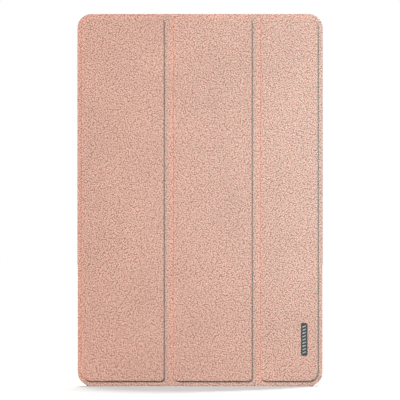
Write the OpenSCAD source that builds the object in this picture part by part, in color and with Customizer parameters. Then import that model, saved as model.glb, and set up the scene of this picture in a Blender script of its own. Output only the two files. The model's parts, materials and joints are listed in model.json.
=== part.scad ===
// Tablet computer in a tri-fold folio case, standing on its lower short edge, cover closed.
// +X is the free edge of the cover, -X the spine, -Y the front (cover), +Y the back, +Z up.
// The origin is the centre of the footprint, on the surface that the case stands on.

/* [Tablet] */
// Width of the tablet
tablet_w = 165.5; // [135:0.5:230]
// Height of the tablet
tablet_h = 256; // [200:0.5:330]
// Thickness of the tablet over its glass
tablet_t = 6.6; // [6.4:0.1:9]
// Corner radius of the tablet, seen from the front
tablet_r = 8.3; // [6:0.1:12]
// Thickness of the housing's side walls
housing_wall = 1; // [0.8:0.1:1.4]
// Thickness of the housing's back
housing_back = 0.8; // [0.6:0.1:1]
// Thickness of the front glass
glass_t = 0.6; // [0.5:0.05:0.8]
// Height of the glass over the housing's rim
glass_proud = 0.3; // [0.1:0.05:0.4]
// Distance from the tablet's side to the picture
border_side = 8.7; // [7:0.1:14]
// Distance from the tablet's top and bottom to the picture
border_end = 9.55; // [8.5:0.05:16]

/* [Tablet keys, port and camera] */
// Length of the power key
power_key_l = 12; // [9:0.5:16]
// Distance of the power key from the tablet's right side
power_key_in = 17.5; // [14:0.5:24]
// Length of the volume rocker
volume_key_l = 23; // [18:0.5:30]
// Distance of the volume rocker's middle from the tablet's top
volume_key_down = 40; // [30:0.5:60]
// Width of the keys' caps
key_w = 1.8; // [1.5:0.1:2.4]
// Height of the keys' caps over the housing
key_proud = 0.45; // [0.35:0.05:0.7]
// Clearance round a key, a lens or a tray in its slot
slot_gap = 0.12; // [0.08:0.01:0.2]
// Width of the card tray's mouth
tray_w = 15; // [14:0.5:18]
// Depth of the card tray
tray_l = 20; // [18:0.5:24]
// Thickness of the card tray
tray_t = 0.9; // [0.7:0.05:1.1]
// Width of the USB-C opening
port_w = 8.9; // [8.7:0.05:9.2]
// Height of the USB-C opening
port_h = 3.1; // [3:0.05:3.3]
// Outer diameter of the rear camera's ring
camera_d = 13; // [11:0.5:16]
// Distance of the rear camera from the tablet's side and top
camera_in = 16; // [13:0.5:22]
// Number of sound holes in each grille
grille_holes = 8; // [4:1:9]
// Length of a speaker box
speaker_l = 28; // [24:1:32]
// Distance of the upper speakers from the middle of the tablet
speaker_top_x = 40; // [34:0.5:44]
// Distance of the lower speakers from the middle of the tablet
speaker_bottom_x = 50; // [40:0.5:54]

/* [Case] */
// Gap between the tablet and the shell's walls
fit_gap = 0.2; // [0.1:0.05:0.4]
// Thickness of the shell's side walls
shell_wall = 1.5; // [1.2:0.1:2]
// Thickness of the shell's back
shell_back = 1.2; // [1:0.1:1.6]
// Gap between the tablet's back and the shell
seat_gap = 0.1; // [0.05:0.05:0.3]
// Length of a corner lip along each side
lip_l = 20; // [16:1:28]
// Reach of a corner lip over the glass
lip_over = 0.8; // [0.5:0.1:1.5]
// Thickness of a corner lip
lip_t = 0.5; // [0.4:0.05:0.5]
// Gap between the glass and the closed cover
cover_gap = 0.8; // [0.8:0.05:1.2]
// Reach of the cover past the shell at its free edge
edge_overhang = 0.3; // [0:0.1:1]

/* [Cover layers] */
// Thickness of the leather
skin_t = 0.85; // [0.7:0.05:1.1]
// Thickness of the microfibre lining
lining_t = 0.5; // [0.3:0.05:0.7]
// Thickness of the stiffening boards
board_t = 1; // [0.8:0.05:1.2]
// Thickness of the spine
spine_t = 1.5; // [1.35:0.05:1.8]
// Gap between the spine and the shell
spine_gap = 0.3; // [0.2:0.05:0.6]
// Thickness of the spine's lining
spine_lining_t = 0.3; // [0.2:0.05:0.4]

/* [Cover panels] */
// Distance from the spine's front bend to the first fold
panel_1_w = 63; // [50:0.1:80]
// Distance from the first fold to the second fold
panel_2_w = 61; // [50:0.1:80]
// Width of the soft strip at the first fold
fold_1_strip = 6.9; // [6:0.1:9]
// Width of the soft strip at the second fold
fold_2_strip = 6.2; // [6:0.1:9]
// Flat rim between the cover's outline and a raised panel, at the sides
rim_side = 3.2; // [2.5:0.1:5]
// Flat rim above the raised panels
rim_top = 2.5; // [2:0.1:5]
// Flat rim below the raised panels
rim_bottom = 3.3; // [2:0.1:5]
// Corner radius of a raised panel next to a fold
panel_fold_r = 3.2; // [2:0.1:6]
// Radius of the leather where it bends round the spine
bend_r = 0.9; // [0.8:0.05:0.95]
// Gap between two panels' leather at a fold line
seam_gap = 0.3; // [0.2:0.05:0.5]
// Distance of a fold's axis in front of the raised panels
fold_clear = 0.2; // [0.2:0.05:0.4]
// Length of the plain badge
badge_l = 23; // [16:0.5:30]
// Width of the plain badge
badge_w = 4.6; // [4:0.1:8]
// Thickness of the plain badge
badge_t = 0.35; // [0.2:0.05:0.5]
// Distance from the cover's free edge to the badge's middle
badge_in = 12.9; // [9:0.1:13]
// Height of the badge's middle
badge_up = 32.5; // [25:0.5:60]
// Diameter of the closing magnets
magnet_d = 8; // [5:0.5:8]
// Thickness of the magnets
magnet_t = 0.8; // [0.6:0.05:0.8]

/* [Hidden] */
$fn = 64;
cut = 0.5; // how far a cutting shape runs past the face that it opens

// Depths, from the back (+) to the front (-)
case_t = 2 * skin_t + shell_back + seat_gap + tablet_t + cover_gap + lining_t + board_t;
y_back = case_t / 2;
y_shell_out = y_back - skin_t;
y_shell_in = y_shell_out - shell_back;
y_tab_back = y_shell_in - seat_gap;
y_tab_front = y_tab_back - tablet_t;
y_lining = y_tab_front - cover_gap;
y_board = y_lining - lining_t;
y_rim = y_board - skin_t;
y_board_front = y_board - board_t;
y_front = -case_t / 2;
y_fold = y_front - fold_clear;
y_bend_back = y_back - bend_r;
y_bend_front = y_rim + bend_r;

// Widths
shell_w = tablet_w + 2 * (fit_gap + shell_wall);
case_w = spine_t + spine_gap + shell_w + edge_overhang;
x_left = -case_w / 2;
x_right = case_w / 2;
x_shell_left = x_left + spine_t + spine_gap;
x_shell_right = x_shell_left + shell_w;
tab_x = (x_shell_left + x_shell_right) / 2;
tab_left = tab_x - tablet_w / 2;
tab_right = tab_x + tablet_w / 2;
x_bend = x_left + bend_r;
bend_clear = 0.1;
x_panel_1 = x_bend + bend_r + bend_clear;
x_fold_1 = x_bend + panel_1_w;
x_fold_2 = x_fold_1 + panel_2_w;

// Heights
case_h = tablet_h + 2 * (fit_gap + shell_wall);
case_r = tablet_r + fit_gap + shell_wall;
tab_bottom = fit_gap + shell_wall;
tab_top = tab_bottom + tablet_h;
tab_z = case_h / 2;
spine_bottom = case_r + 1;
spine_top = case_h - case_r - 1;

// Inside the tablet
play = 0.05; // gap between neighbouring pieces of the tablet
in_left = tab_left + housing_wall;
in_right = tab_right - housing_wall;
in_bottom = tab_bottom + housing_wall;
in_top = tab_top - housing_wall;
in_r = tablet_r - housing_wall;
y_glass_back = y_tab_front + glass_t;
adhesive_t = 0.2;
y_ledge = y_glass_back + adhesive_t;
lcd_t = 0.8;
backlight_t = 0.8;
y_lcd_back = y_glass_back + play + lcd_t;
y_backlight_back = y_lcd_back + play + backlight_t;
plate_t = 0.4;
y_plate_front = y_backlight_back + play;
y_plate_back = y_plate_front + plate_t;
y_in_back = y_tab_back - housing_back;
bay_t = y_in_back - y_plate_back;
y_side = (y_plate_back + y_in_back) / 2;
picture_w = tablet_w - 2 * border_side;
picture_h = tablet_h - 2 * border_end;
lcd_margin = 1.8;
lcd_w = picture_w + 2 * lcd_margin;
lcd_h = picture_h + 2 * lcd_margin;

// Layout of the tablet's inner pieces
speaker_h = 12;
speaker_t = bay_t - 4 * play;
port_l = 7.3;
port_shell = 0.3;
y_port = y_side - 0.35;
board_1_t = 0.8;
y_mainboard = y_in_back - 0.25 - board_1_t;
mainboard_z0 = in_top - 46;
mainboard_z1 = in_top - 20;
tray_x = tab_x - 5;
y_tray = y_mainboard - 0.45 - tray_t / 2;
battery_z0 = in_bottom + 22;
battery_z1 = mainboard_z0 - 4;
battery_side = 5.5;
battery_gap = 3;
battery_t = bay_t - 4 * play;
camera_x = tab_right - camera_in;
camera_z = tab_top - camera_in;
camera_h = 1.2;
lens_d = 8;
flash_d = 4;
flash_z = camera_z - 13;
front_camera_d = 3;
front_camera_x = tab_right - 4.2;
power_x = tab_right - power_key_in;
volume_z = tab_top - volume_key_down;
y_key = y_side - 0.4;
key_flange = 0.9;
key_flange_t = 0.5;
key_travel = 0.3;
hall_z = volume_z - 34;
screw_d = 1.6;

// Colours
leather = [0.85, 0.67, 0.60];
microfibre = [0.72, 0.60, 0.56];
polycarbonate = [0.80, 0.62, 0.56];
metal = [0.74, 0.74, 0.76];
steel = [0.66, 0.67, 0.70];
black = [0.06, 0.06, 0.07];
foil = [0.45, 0.45, 0.47];
copper = [0.72, 0.45, 0.28];
board_green = [0.10, 0.26, 0.18];
flex_amber = [0.55, 0.33, 0.12];

// An outline drawn as seen from the front (X across, Z up), given a depth from y0 (front) to y1 (back).
module slab(y0, y1) {
    translate([0, y1, 0]) rotate([90, 0, 0]) linear_extrude(y1 - y0) children();
}

// Rectangle from corner to corner with its own radius at the left and at the right corners.
module round_rect(x0, x1, z0, z1, r_left, r_right) {
    translate([x0 + r_left, z0]) square([x1 - x0 - r_left - r_right, z1 - z0]);
    translate([x0, z0 + r_left]) square([r_left + 0.01, z1 - z0 - 2 * r_left]);
    translate([x1 - r_right - 0.01, z0 + r_right]) square([r_right + 0.01, z1 - z0 - 2 * r_right]);
    for (z = [z0 + r_left, z1 - r_left]) translate([x0 + r_left, z]) circle(r_left);
    for (z = [z0 + r_right, z1 - r_right]) translate([x1 - r_right, z]) circle(r_right);
}

module rect(x0, x1, z0, z1) {
    translate([x0, z0]) square([x1 - x0, z1 - z0]);
}

module box(x0, x1, y0, y1, z0, z1) {
    translate([x0, y0, z0]) cube([x1 - x0, y1 - y0, z1 - z0]);
}

module tablet_outline(inset) {
    round_rect(tab_left + inset, tab_right - inset, tab_bottom + inset, tab_top - inset,
               tablet_r - inset, tablet_r - inset);
}

module shell_outline() {
    round_rect(x_shell_left, x_shell_right, 0, case_h, case_r, case_r);
}

module lcd_outline(grow) {
    rect(tab_x - lcd_w / 2 - grow, tab_x + lcd_w / 2 + grow, tab_z - lcd_h / 2 - grow, tab_z + lcd_h / 2 + grow);
}

// A bar with round ends along X, of length l and width w, running up (+Z) from z0 to z1.
module bar_up(x, y, l, w, z0, z1) {
    translate([x, y, z0]) {
        translate([-(l - w) / 2, -w / 2, 0]) cube([l - w, w, z1 - z0]);
        for (side = [-1, 1]) translate([side * (l - w) / 2, 0, 0]) cylinder(d = w, h = z1 - z0);
    }
}

// A bar with round ends along Z, of length l and width w, running across (+X) from x0 to x1.
module bar_across(y, z, l, w, x0, x1) {
    translate([x0, y, z]) {
        translate([0, -w / 2, -(l - w) / 2]) cube([x1 - x0, w, l - w]);
        for (side = [-1, 1]) translate([0, 0, side * (l - w) / 2]) rotate([0, 90, 0]) cylinder(d = w, h = x1 - x0);
    }
}

// A disc lying in the plane of the panels, from y0 (front) to y1 (back).
module disc(x, z, d, y0, y1) {
    translate([x, y1, z]) rotate([90, 0, 0]) cylinder(d = d, h = y1 - y0);
}

// ---- Case: shell and back ----

module camera_window(grow) {
    round_rect(camera_x - camera_d / 2 - 1.5 - grow, camera_x + camera_d / 2 + 1.5 + grow,
               flash_z - flash_d / 2 - 2 - grow, camera_z + camera_d / 2 + 1.5 + grow, 5, 5);
}

// A notch in a wall of the shell, open to the front, from a little behind the tablet's back edge.
module wall_notch(x0, x1, z0, z1) {
    box(x0, x1, y_lining, y_tab_back - 0.9, z0, z1);
}

module rear_shell() {
    wall_front = y_tab_front + 0.25;
    lip_front = y_tab_front - lip_t;
    color(polycarbonate) difference() {
        union() {
            slab(wall_front, y_shell_out) shell_outline();
            slab(lip_front, wall_front) intersection() {
                shell_outline();
                for (x = [x_shell_left, x_shell_right - lip_l], z = [0, case_h - lip_l]) rect(x, x + lip_l, z, z + lip_l);
            }
        }
        slab(y_tab_front - play, y_shell_in) tablet_outline(-fit_gap);
        slab(lip_front - cut, y_tab_front) tablet_outline(lip_over);
        slab(y_shell_in - cut, y_shell_out + cut) camera_window(0);
        // power key, speakers and card tray at the top
        wall_notch(power_x - power_key_l / 2 - 3, power_x + power_key_l / 2 + 3, tab_top - cut, case_h + cut);
        for (side = [-1, 1])
            wall_notch(tab_x + side * speaker_top_x - speaker_l / 2, tab_x + side * speaker_top_x + speaker_l / 2,
                       tab_top - cut, case_h + cut);
        wall_notch(tray_x - tray_w / 2 - 3, tray_x + tray_w / 2 + 3, tab_top - cut, case_h + cut);
        // port and speakers at the bottom
        wall_notch(tab_x - 8, tab_x + 8, -cut, tab_bottom + cut);
        for (side = [-1, 1])
            wall_notch(tab_x + side * speaker_bottom_x - speaker_l / 2, tab_x + side * speaker_bottom_x + speaker_l / 2,
                       -cut, tab_bottom + cut);
        // volume rocker at the side
        wall_notch(tab_right - cut, x_shell_right + cut, volume_z - volume_key_l / 2 - 4, volume_z + volume_key_l / 2 + 4);
    }
}

module back_skin() {
    inset = 0.4;
    color(leather) slab(y_shell_out, y_back) difference() {
        intersection() {
            round_rect(x_shell_left + inset, x_shell_right - inset, inset, case_h - inset, case_r - inset, case_r - inset);
            rect(x_bend + bend_r + bend_clear, x_right, 0, case_h);
        }
        camera_window(0.3);
    }
}

module bend(y) {
    color(leather) translate([x_bend, y, spine_bottom]) cylinder(r = bend_r, h = spine_top - spine_bottom);
}

// ---- Tablet: housing and display ----

module grille(x, up) {
    pitch = 2.4;
    for (i = [0 : grille_holes - 1])
        translate([x + (i - (grille_holes - 1) / 2) * pitch, y_side, up ? in_top - cut : tab_bottom - cut])
            cylinder(d = 1.3, h = housing_wall + 2 * cut);
}

module rear_housing() {
    rim_front = y_tab_front + glass_proud;
    color(metal) difference() {
        slab(rim_front, y_tab_back) tablet_outline(0);
        slab(rim_front - cut, y_in_back) tablet_outline(housing_wall);
        disc(camera_x, camera_z, camera_d - 1.6, y_in_back - cut, y_tab_back + cut);
        disc(camera_x, flash_z, flash_d + 2 * slot_gap, y_in_back - cut, y_tab_back + cut);
        for (side = [-1, 1]) {
            grille(tab_x + side * speaker_top_x, true);
            grille(tab_x + side * speaker_bottom_x, false);
        }
        for (z = [tab_bottom, tab_top]) translate([tab_x + 16, y_side, z - housing_wall - cut])
            cylinder(d = 1, h = 2 * housing_wall + 2 * cut);
        bar_up(tab_x, y_port, port_w + 2 * slot_gap, port_h + 2 * slot_gap, tab_bottom - cut, in_bottom + cut);
        bar_up(power_x, y_key, power_key_l + 2 * slot_gap, key_w + 2 * slot_gap, in_top - cut, tab_top + cut);
        bar_up(tray_x, y_tray, tray_w + 2 * slot_gap, tray_t + 0.6 + 2 * slot_gap, in_top - cut, tab_top + cut);
        bar_across(y_key, volume_z, volume_key_l + 2 * slot_gap, key_w + 2 * slot_gap, in_right - cut, tab_right + cut);
    }
}

module mid_frame() {
    color(steel) difference() {
        slab(y_ledge, y_plate_back) tablet_outline(housing_wall + play);
        slab(y_ledge - cut, y_plate_front) lcd_outline(0.3);
        // bays for the port, the keys, the tray and the front camera
        box(tab_x - port_w / 2 - 1, tab_x + port_w / 2 + 1, y_port - port_h / 2 - 0.4, y_plate_back + cut,
            in_bottom - cut, in_bottom + port_l + 1);
        box(power_x - power_key_l / 2 - 2, power_x + power_key_l / 2 + 2, y_key - key_w / 2 - 1.2, y_plate_back + cut,
            in_top - 3.6, in_top + cut);
        box(in_right - 3.6, in_right + cut, y_key - key_w / 2 - 1.2, y_plate_back + cut,
            volume_z - volume_key_l / 2 - 2, volume_z + volume_key_l / 2 + 2);
        disc(front_camera_x, tab_z, front_camera_d + 1.6, y_ledge - cut, y_plate_back + cut);
        // window for the display's ribbon
        slab(y_plate_front - cut, y_plate_back + cut) rect(tab_x - 16, tab_x + 16, battery_z1 + 0.5, battery_z1 + 2.5);
    }
}

module display_adhesive() {
    color(black) slab(y_glass_back, y_ledge) difference() {
        tablet_outline(housing_wall + 0.2);
        lcd_outline(0.3);
        translate([front_camera_x, tab_z]) circle(d = front_camera_d + 1.6);
    }
}

module cover_glass() {
    color(black) slab(y_tab_front, y_glass_back) tablet_outline(housing_wall + 0.05);
}

module lcd_panel() {
    color(black) slab(y_glass_back, y_lcd_back) lcd_outline(0);
}

module backlight_unit() {
    color(foil) slab(y_lcd_back, y_backlight_back) lcd_outline(-0.3);
}

module display_flex() {
    color(flex_amber) {
        box(tab_x - 15, tab_x + 15, y_backlight_back, y_plate_back + 0.6, battery_z1 + 0.8, battery_z1 + 1);
        box(tab_x - 15, tab_x + 15, y_plate_back + 0.4, y_plate_back + 0.6, battery_z1 + 1, mainboard_z0 + 6);
        box(tab_x - 7, tab_x + 7, y_plate_back + 0.6, y_mainboard, mainboard_z0 + 4.3, mainboard_z0 + 6);
    }
}

// ---- Tablet: power and boards ----

module battery(side) {
    edge = side < 0 ? in_left + battery_side : in_right - battery_side;
    middle = tab_x + side * battery_gap / 2;
    color(foil) slab(y_plate_back + play, y_plate_back + play + battery_t)
        round_rect(min(edge, middle), max(edge, middle), battery_z0, battery_z1, 1.5, 1.5);
}

module battery_board() {
    color(board_green) box(tab_x - 26, tab_x + 26, y_plate_back + 0.95, y_plate_back + 1.7, battery_z1 + 0.2, battery_z1 + 0.7);
}

module mainboard() {
    color(board_green) slab(y_mainboard, y_mainboard + board_1_t) difference() {
        union() {
            rect(in_left + 4, in_right - 4, mainboard_z0, mainboard_z1);
            rect(tray_x - tray_w / 2 - 3, tray_x + tray_w / 2 + 10, mainboard_z1 - 0.5, in_top - 2);
        }
        for (x = mainboard_screws) translate([x, mainboard_z0 + 3]) circle(d = screw_d + 0.3);
        translate([camera_x, camera_z]) square([camera_d, camera_d], center = true);
        translate([camera_x, flash_z]) circle(d = flash_d + 1);
    }
}

mainboard_screws = [in_left + 8, tab_x - 32, tab_x + 32, in_right - 8];

module shield_cans() {
    color(steel) for (can = [[-38, 26, 17], [-9, 22, 15], [21, 18, 15]])
        box(tab_x + can[0], tab_x + can[0] + can[1], y_mainboard - 1.1, y_mainboard,
            mainboard_z0 + 8, mainboard_z0 + 8 + can[2]);
}

module heat_spreader() {
    color(copper) box(tab_x - 38, tab_x + 39, y_mainboard - 1.25, y_mainboard - 1.1, mainboard_z0 + 9, mainboard_z0 + 22);
}

module hall_sensor() {
    color(black) box(in_right - 3.2, in_right - 0.8, y_plate_back + 0.6, y_plate_back + 1.4, hall_z - 1.5, hall_z + 1.5);
}

module tablet_magnets() {
    color(steel) for (z = [closing_z[0], closing_z[1], closing_z[2]])
        box(in_right - 4, in_right - 1.2, y_plate_back + 0.3, y_plate_back + 1.8, z - 8, z + 8);
}

module board_screws() {
    color(steel) for (x = mainboard_screws) translate([x, y_mainboard - 0.6, mainboard_z0 + 3]) rotate([-90, 0, 0])
        union() {
            cylinder(d = screw_d + 1.2, h = 0.6);
            cylinder(d = screw_d, h = 0.6 + board_1_t + 0.25);
        }
}

module charge_board() {
    color(board_green) difference() {
        box(tab_x - 24, tab_x + 24, y_mainboard, y_mainboard + board_1_t, in_bottom + 1, in_bottom + 14);
        for (side = [-1, 1]) disc(tab_x + side * 20, in_bottom + 10, screw_d + 0.3, y_mainboard - cut, y_in_back);
        box(tab_x - port_w / 2 - 0.15, tab_x + port_w / 2 + 0.15, y_mainboard - cut, y_in_back, in_bottom, tab_bottom + 0.35 + port_l);
    }
}

module charge_flex() {
    color(flex_amber) box(tab_x - battery_gap / 2 + 0.4, tab_x + battery_gap / 2 - 0.4, y_mainboard - 0.25, y_mainboard,
                          in_bottom + 11, mainboard_z0 + 4);
}

module usb_receptacle() {
    tongue_t = 0.7;
    color(steel) difference() {
        bar_up(tab_x, y_port, port_w, port_h, tab_bottom + 0.2, tab_bottom + 0.2 + port_l);
        bar_up(tab_x, y_port, port_w - 2 * port_shell, port_h - 2 * port_shell, tab_bottom, tab_bottom + 6.2);
    }
    color(black) box(tab_x - 3.3, tab_x + 3.3, y_port - tongue_t / 2, y_port + tongue_t / 2, tab_bottom + 1, tab_bottom + 6.3);
}

module card_reader() {
    color(steel) difference() {
        box(tray_x - tray_w / 2 - 0.6, tray_x + tray_w / 2 + 0.6, y_tray - tray_t / 2 - 0.4, y_mainboard,
            in_top - tray_l, in_top - 1.5);
        box(tray_x - tray_w / 2 + 0.2, tray_x + tray_w / 2 - 0.2, y_tray - tray_t / 2 - 0.15, y_tray + tray_t / 2 + 0.15,
            in_top - tray_l - cut, in_top);
    }
}

module antennas() {
    strip_t = 0.3;
    color(flex_amber) for (side = [-1, 1]) {
        box(tab_x + side * 50 - 6, tab_x + side * 50 + 6, y_in_back - strip_t, y_in_back, in_top - 19, in_top - 15);
        box(tab_x + side * 74 - 2, tab_x + side * 74 + 2, y_in_back - strip_t, y_in_back, in_bottom + 3, in_bottom + 15);
    }
}

module microphones() {
    color(steel) for (z = [in_bottom + 0.2, in_top - 1.4])
        box(tab_x + 14.2, tab_x + 17.8, y_side - 1.2, y_side + 0.45, z, z + 1.2);
}

module speaker(side, up) {
    x = tab_x + side * (up ? speaker_top_x : speaker_bottom_x);
    z0 = up ? in_top - 0.4 - speaker_h : in_bottom + 0.4;
    mouth = (grille_holes - 1) * 2.4 + 2;
    color(black) difference() {
        slab(y_plate_back + play, y_plate_back + play + speaker_t)
            round_rect(x - speaker_l / 2, x + speaker_l / 2, z0, z0 + speaker_h, 2, 2);
        box(x - mouth / 2, x + mouth / 2, y_side - 0.8, y_side + 0.8,
            up ? z0 + speaker_h - 2 : z0 - cut, up ? z0 + speaker_h + cut : z0 + 2);
    }
}

module speaker_meshes() {
    mouth = (grille_holes - 1) * 2.4 + 1.8;
    color(black) for (side = [-1, 1]) {
        box(tab_x + side * speaker_top_x - mouth / 2, tab_x + side * speaker_top_x + mouth / 2,
            y_side - 0.75, y_side + 0.75, in_top - 0.3, in_top);
        box(tab_x + side * speaker_bottom_x - mouth / 2, tab_x + side * speaker_bottom_x + mouth / 2,
            y_side - 0.75, y_side + 0.75, in_bottom, in_bottom + 0.3);
    }
}

// ---- Tablet: cameras ----

module rear_camera_module() {
    side = camera_d - 3;
    color(black) {
        box(camera_x - side / 2, camera_x + side / 2, y_plate_back + 0.3, y_in_back - 0.1, camera_z - side / 2, camera_z + side / 2);
        disc(camera_x, camera_z, lens_d, y_in_back - 0.1, y_tab_back + 0.3);
    }
}

module camera_ring() {
    color(metal) difference() {
        union() {
            disc(camera_x, camera_z, camera_d, y_tab_back, y_tab_back + camera_h);
            disc(camera_x, camera_z, camera_d - 1.6 - 2 * slot_gap, y_in_back, y_tab_back);
        }
        disc(camera_x, camera_z, lens_d + 2 * slot_gap, y_in_back - cut, y_tab_back + camera_h + cut);
        disc(camera_x, camera_z, lens_d + 1.6, y_tab_back + camera_h - 0.5, y_tab_back + camera_h + cut);
    }
}

module camera_glass() {
    color(black) disc(camera_x, camera_z, lens_d + 1.6 - 2 * play, y_tab_back + camera_h - 0.5, y_tab_back + camera_h - 0.1);
}

module flash_lens() {
    color("white") disc(camera_x, flash_z, flash_d, y_in_back - 0.3, y_tab_back + 0.1);
}

module front_camera_module() {
    color(black) disc(front_camera_x, tab_z, front_camera_d + 1, y_glass_back + play, y_plate_back + 1);
}

// ---- Tablet: keys and tray ----

module power_key() {
    foot = in_top - key_flange_t - 0.1;
    color(metal) {
        bar_up(power_x, y_key, power_key_l, key_w, foot, tab_top + key_proud);
        bar_up(power_x, y_key, power_key_l + 2 * key_flange, key_w + key_flange, foot, foot + key_flange_t);
    }
}

module power_switch() {
    color(steel) {
        box(power_x - power_key_l / 2, power_x + power_key_l / 2, y_key - 0.8, y_key + 0.8, in_top - 3, in_top - 2.2);
        translate([power_x, y_key, in_top - 2.2])
            cylinder(d1 = 1.4, d2 = 1, h = 2.2 - key_flange_t - 0.1 - key_travel - 0.1);
    }
}

module volume_rocker() {
    foot = in_right - key_flange_t - 0.3;
    color(metal) {
        bar_across(y_key, volume_z, volume_key_l, key_w, foot, tab_right + key_proud);
        bar_across(y_key, volume_z, volume_key_l + 2 * key_flange, key_w + key_flange, foot, foot + key_flange_t);
    }
}

module volume_switches() {
    color(steel) {
        box(in_right - 3.2, in_right - 2.5, y_key - 0.8, y_key + 0.8, volume_z - volume_key_l / 2, volume_z + volume_key_l / 2);
        for (side = [-1, 1]) translate([in_right - 2.5, y_key, volume_z + side * volume_key_l * 0.3])
            rotate([0, 90, 0]) cylinder(d1 = 1.4, d2 = 1, h = 2.5 - key_flange_t - 0.3 - key_travel - 0.1);
    }
}

module card_tray() {
    face_t = housing_wall;
    color(metal) {
        bar_up(tray_x, y_tray, tray_w, tray_t + 0.6, tab_top - face_t, tab_top);
        difference() {
            box(tray_x - tray_w / 2 + 0.5, tray_x + tray_w / 2 - 0.5, y_tray - tray_t / 2, y_tray + tray_t / 2,
                in_top - tray_l + 1, tab_top - face_t);
            box(tray_x - 4.4, tray_x + 4.4, y_tray - cut, y_tray + cut, in_top - tray_l + 3, in_top - tray_l + 15);
        }
    }
}

module tray_seal() {
    color(black) difference() {
        box(tray_x - tray_w / 2 + 0.3, tray_x + tray_w / 2 - 0.3, y_tray - tray_t / 2 - 0.25, y_tray + tray_t / 2 + 0.25,
            in_top - 0.9, in_top - 0.4);
        box(tray_x - tray_w / 2 + 0.5, tray_x + tray_w / 2 - 0.5, y_tray - tray_t / 2, y_tray + tray_t / 2,
            in_top - 1.4, in_top);
    }
}

// ---- Case: spine ----

spine_y0 = y_bend_front + bend_r + bend_clear;
spine_y1 = y_bend_back - bend_r - bend_clear;

module spine_skin() {
    color(leather) box(x_left, x_left + skin_t, spine_y0, spine_y1, spine_bottom, spine_top);
}

module spine_stiffener() {
    color(black) box(x_left + skin_t, x_left + spine_t - spine_lining_t, spine_y0 + 0.4, spine_y1 - 0.4,
                     spine_bottom + 1, spine_top - 1);
}

module spine_lining() {
    color(microfibre) box(x_left + spine_t - spine_lining_t, x_left + spine_t, spine_y0, spine_y1, spine_bottom, spine_top);
}

// ---- Case: the cover's three panels ----

// Where panel n starts and ends, and its raised part: [start, end, raised from, raised to, left radius, right radius].
outer_r = case_r - rim_side;
panels = [
    [x_panel_1, x_fold_1 - seam_gap / 2, x_left + rim_side, x_fold_1 - fold_1_strip / 2, outer_r, panel_fold_r],
    [x_fold_1 + seam_gap / 2, x_fold_2 - seam_gap / 2, x_fold_1 + fold_1_strip / 2, x_fold_2 - fold_2_strip / 2,
     panel_fold_r, panel_fold_r],
    [x_fold_2 + seam_gap / 2, x_right, x_fold_2 + fold_2_strip / 2, x_right - rim_side, panel_fold_r, outer_r]
];

module panel_outline(n) {
    intersection() {
        round_rect(x_left, x_right, 0, case_h, case_r, case_r);
        rect(panels[n][0], panels[n][1], 0, case_h);
    }
}

module raised_outline(n, inset) {
    round_rect(panels[n][2] + inset, panels[n][3] - inset, rim_bottom + inset, case_h - rim_top - inset,
               panels[n][4] - inset, panels[n][5] - inset);
}

module panel_skin(n) {
    color(leather) difference() {
        union() {
            slab(y_rim, y_board) panel_outline(n);
            slab(y_front, y_rim + 0.01) raised_outline(n, 0);
        }
        slab(y_board_front, y_board + cut) raised_outline(n, skin_t);
        if (n == 2) slab(y_front - cut, y_front + badge_t) badge_outline(0);
    }
}

module panel_lining(n) {
    color(microfibre) slab(y_board, y_lining) panel_outline(n);
}

closing_x = panels[2][3] - skin_t - 1 - magnet_d / 2 - 1;
closing_z = [case_h * 0.14, (case_h * 0.14 + hall_z - 22) / 2, hall_z - 22, hall_z + 40];
stand_x = panels[0][2] + skin_t + 1 + magnet_d / 2 + 1;
stand_z = [case_h * 0.2, case_h * 0.8];

module magnet_row(x, heights, d) {
    for (z = heights) disc(x, z, d, y_board - magnet_t, y_board);
}

module panel_board(n) {
    play_2 = 0.1;
    color(black) difference() {
        slab(y_board_front, y_board) raised_outline(n, skin_t + play_2);
        if (n == 0) magnet_pockets(stand_x, stand_z, magnet_d);
        if (n == 2) magnet_pockets(closing_x, closing_z, magnet_d);
        if (n == 2) magnet_pockets(closing_x, [hall_z], magnet_d - 2);
    }
}

module magnet_pockets(x, heights, d) {
    for (z = heights) disc(x, z, d + 0.2, y_board - magnet_t, y_board + cut);
}

module badge_outline(inset) {
    x = x_right - badge_in;
    round_rect(x - badge_w / 2 + inset, x + badge_w / 2 - inset, badge_up - badge_l / 2 + inset,
               badge_up + badge_l / 2 - inset, 1.2 - inset, 1.2 - inset);
}

module badge() {
    color(black) slab(y_front, y_front + badge_t) badge_outline(play);
}

rear_shell();
back_skin();
bend(y_bend_back);  // back_bend
rear_housing();
mid_frame();
display_adhesive();
cover_glass();
lcd_panel();
backlight_unit();
battery(-1);  // battery_left
battery(1);  // battery_right
battery_board();
mainboard();
shield_cans();
heat_spreader();
hall_sensor();
tablet_magnets();
card_reader();
rear_camera_module();
camera_ring();
camera_glass();
flash_lens();
front_camera_module();
usb_receptacle();
charge_board();
charge_flex();
display_flex();
power_switch();
volume_switches();
antennas();
microphones();
board_screws();
speaker(-1, true);  // speaker_top_left
speaker(1, true);  // speaker_top_right
speaker(-1, false);  // speaker_bottom_left
speaker(1, false);  // speaker_bottom_right
speaker_meshes();
power_key();
volume_rocker();
card_tray();
tray_seal();
spine_skin();
spine_stiffener();
spine_lining();
bend(y_bend_front);  // front_bend
panel_skin(0);  // panel_1_skin
panel_board(0);  // panel_1_board
panel_lining(0);  // panel_1_lining
color(steel) magnet_row(stand_x, stand_z, magnet_d);  // stand_magnets
panel_skin(1);  // panel_2_skin
panel_board(1);  // panel_2_board
panel_lining(1);  // panel_2_lining
panel_skin(2);  // panel_3_skin
panel_board(2);  // panel_3_board
panel_lining(2);  // panel_3_lining
color(steel) magnet_row(closing_x, closing_z, magnet_d);  // closing_magnets
color(steel) magnet_row(closing_x, [hall_z], magnet_d - 2);  // sleep_magnet
badge();
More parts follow.
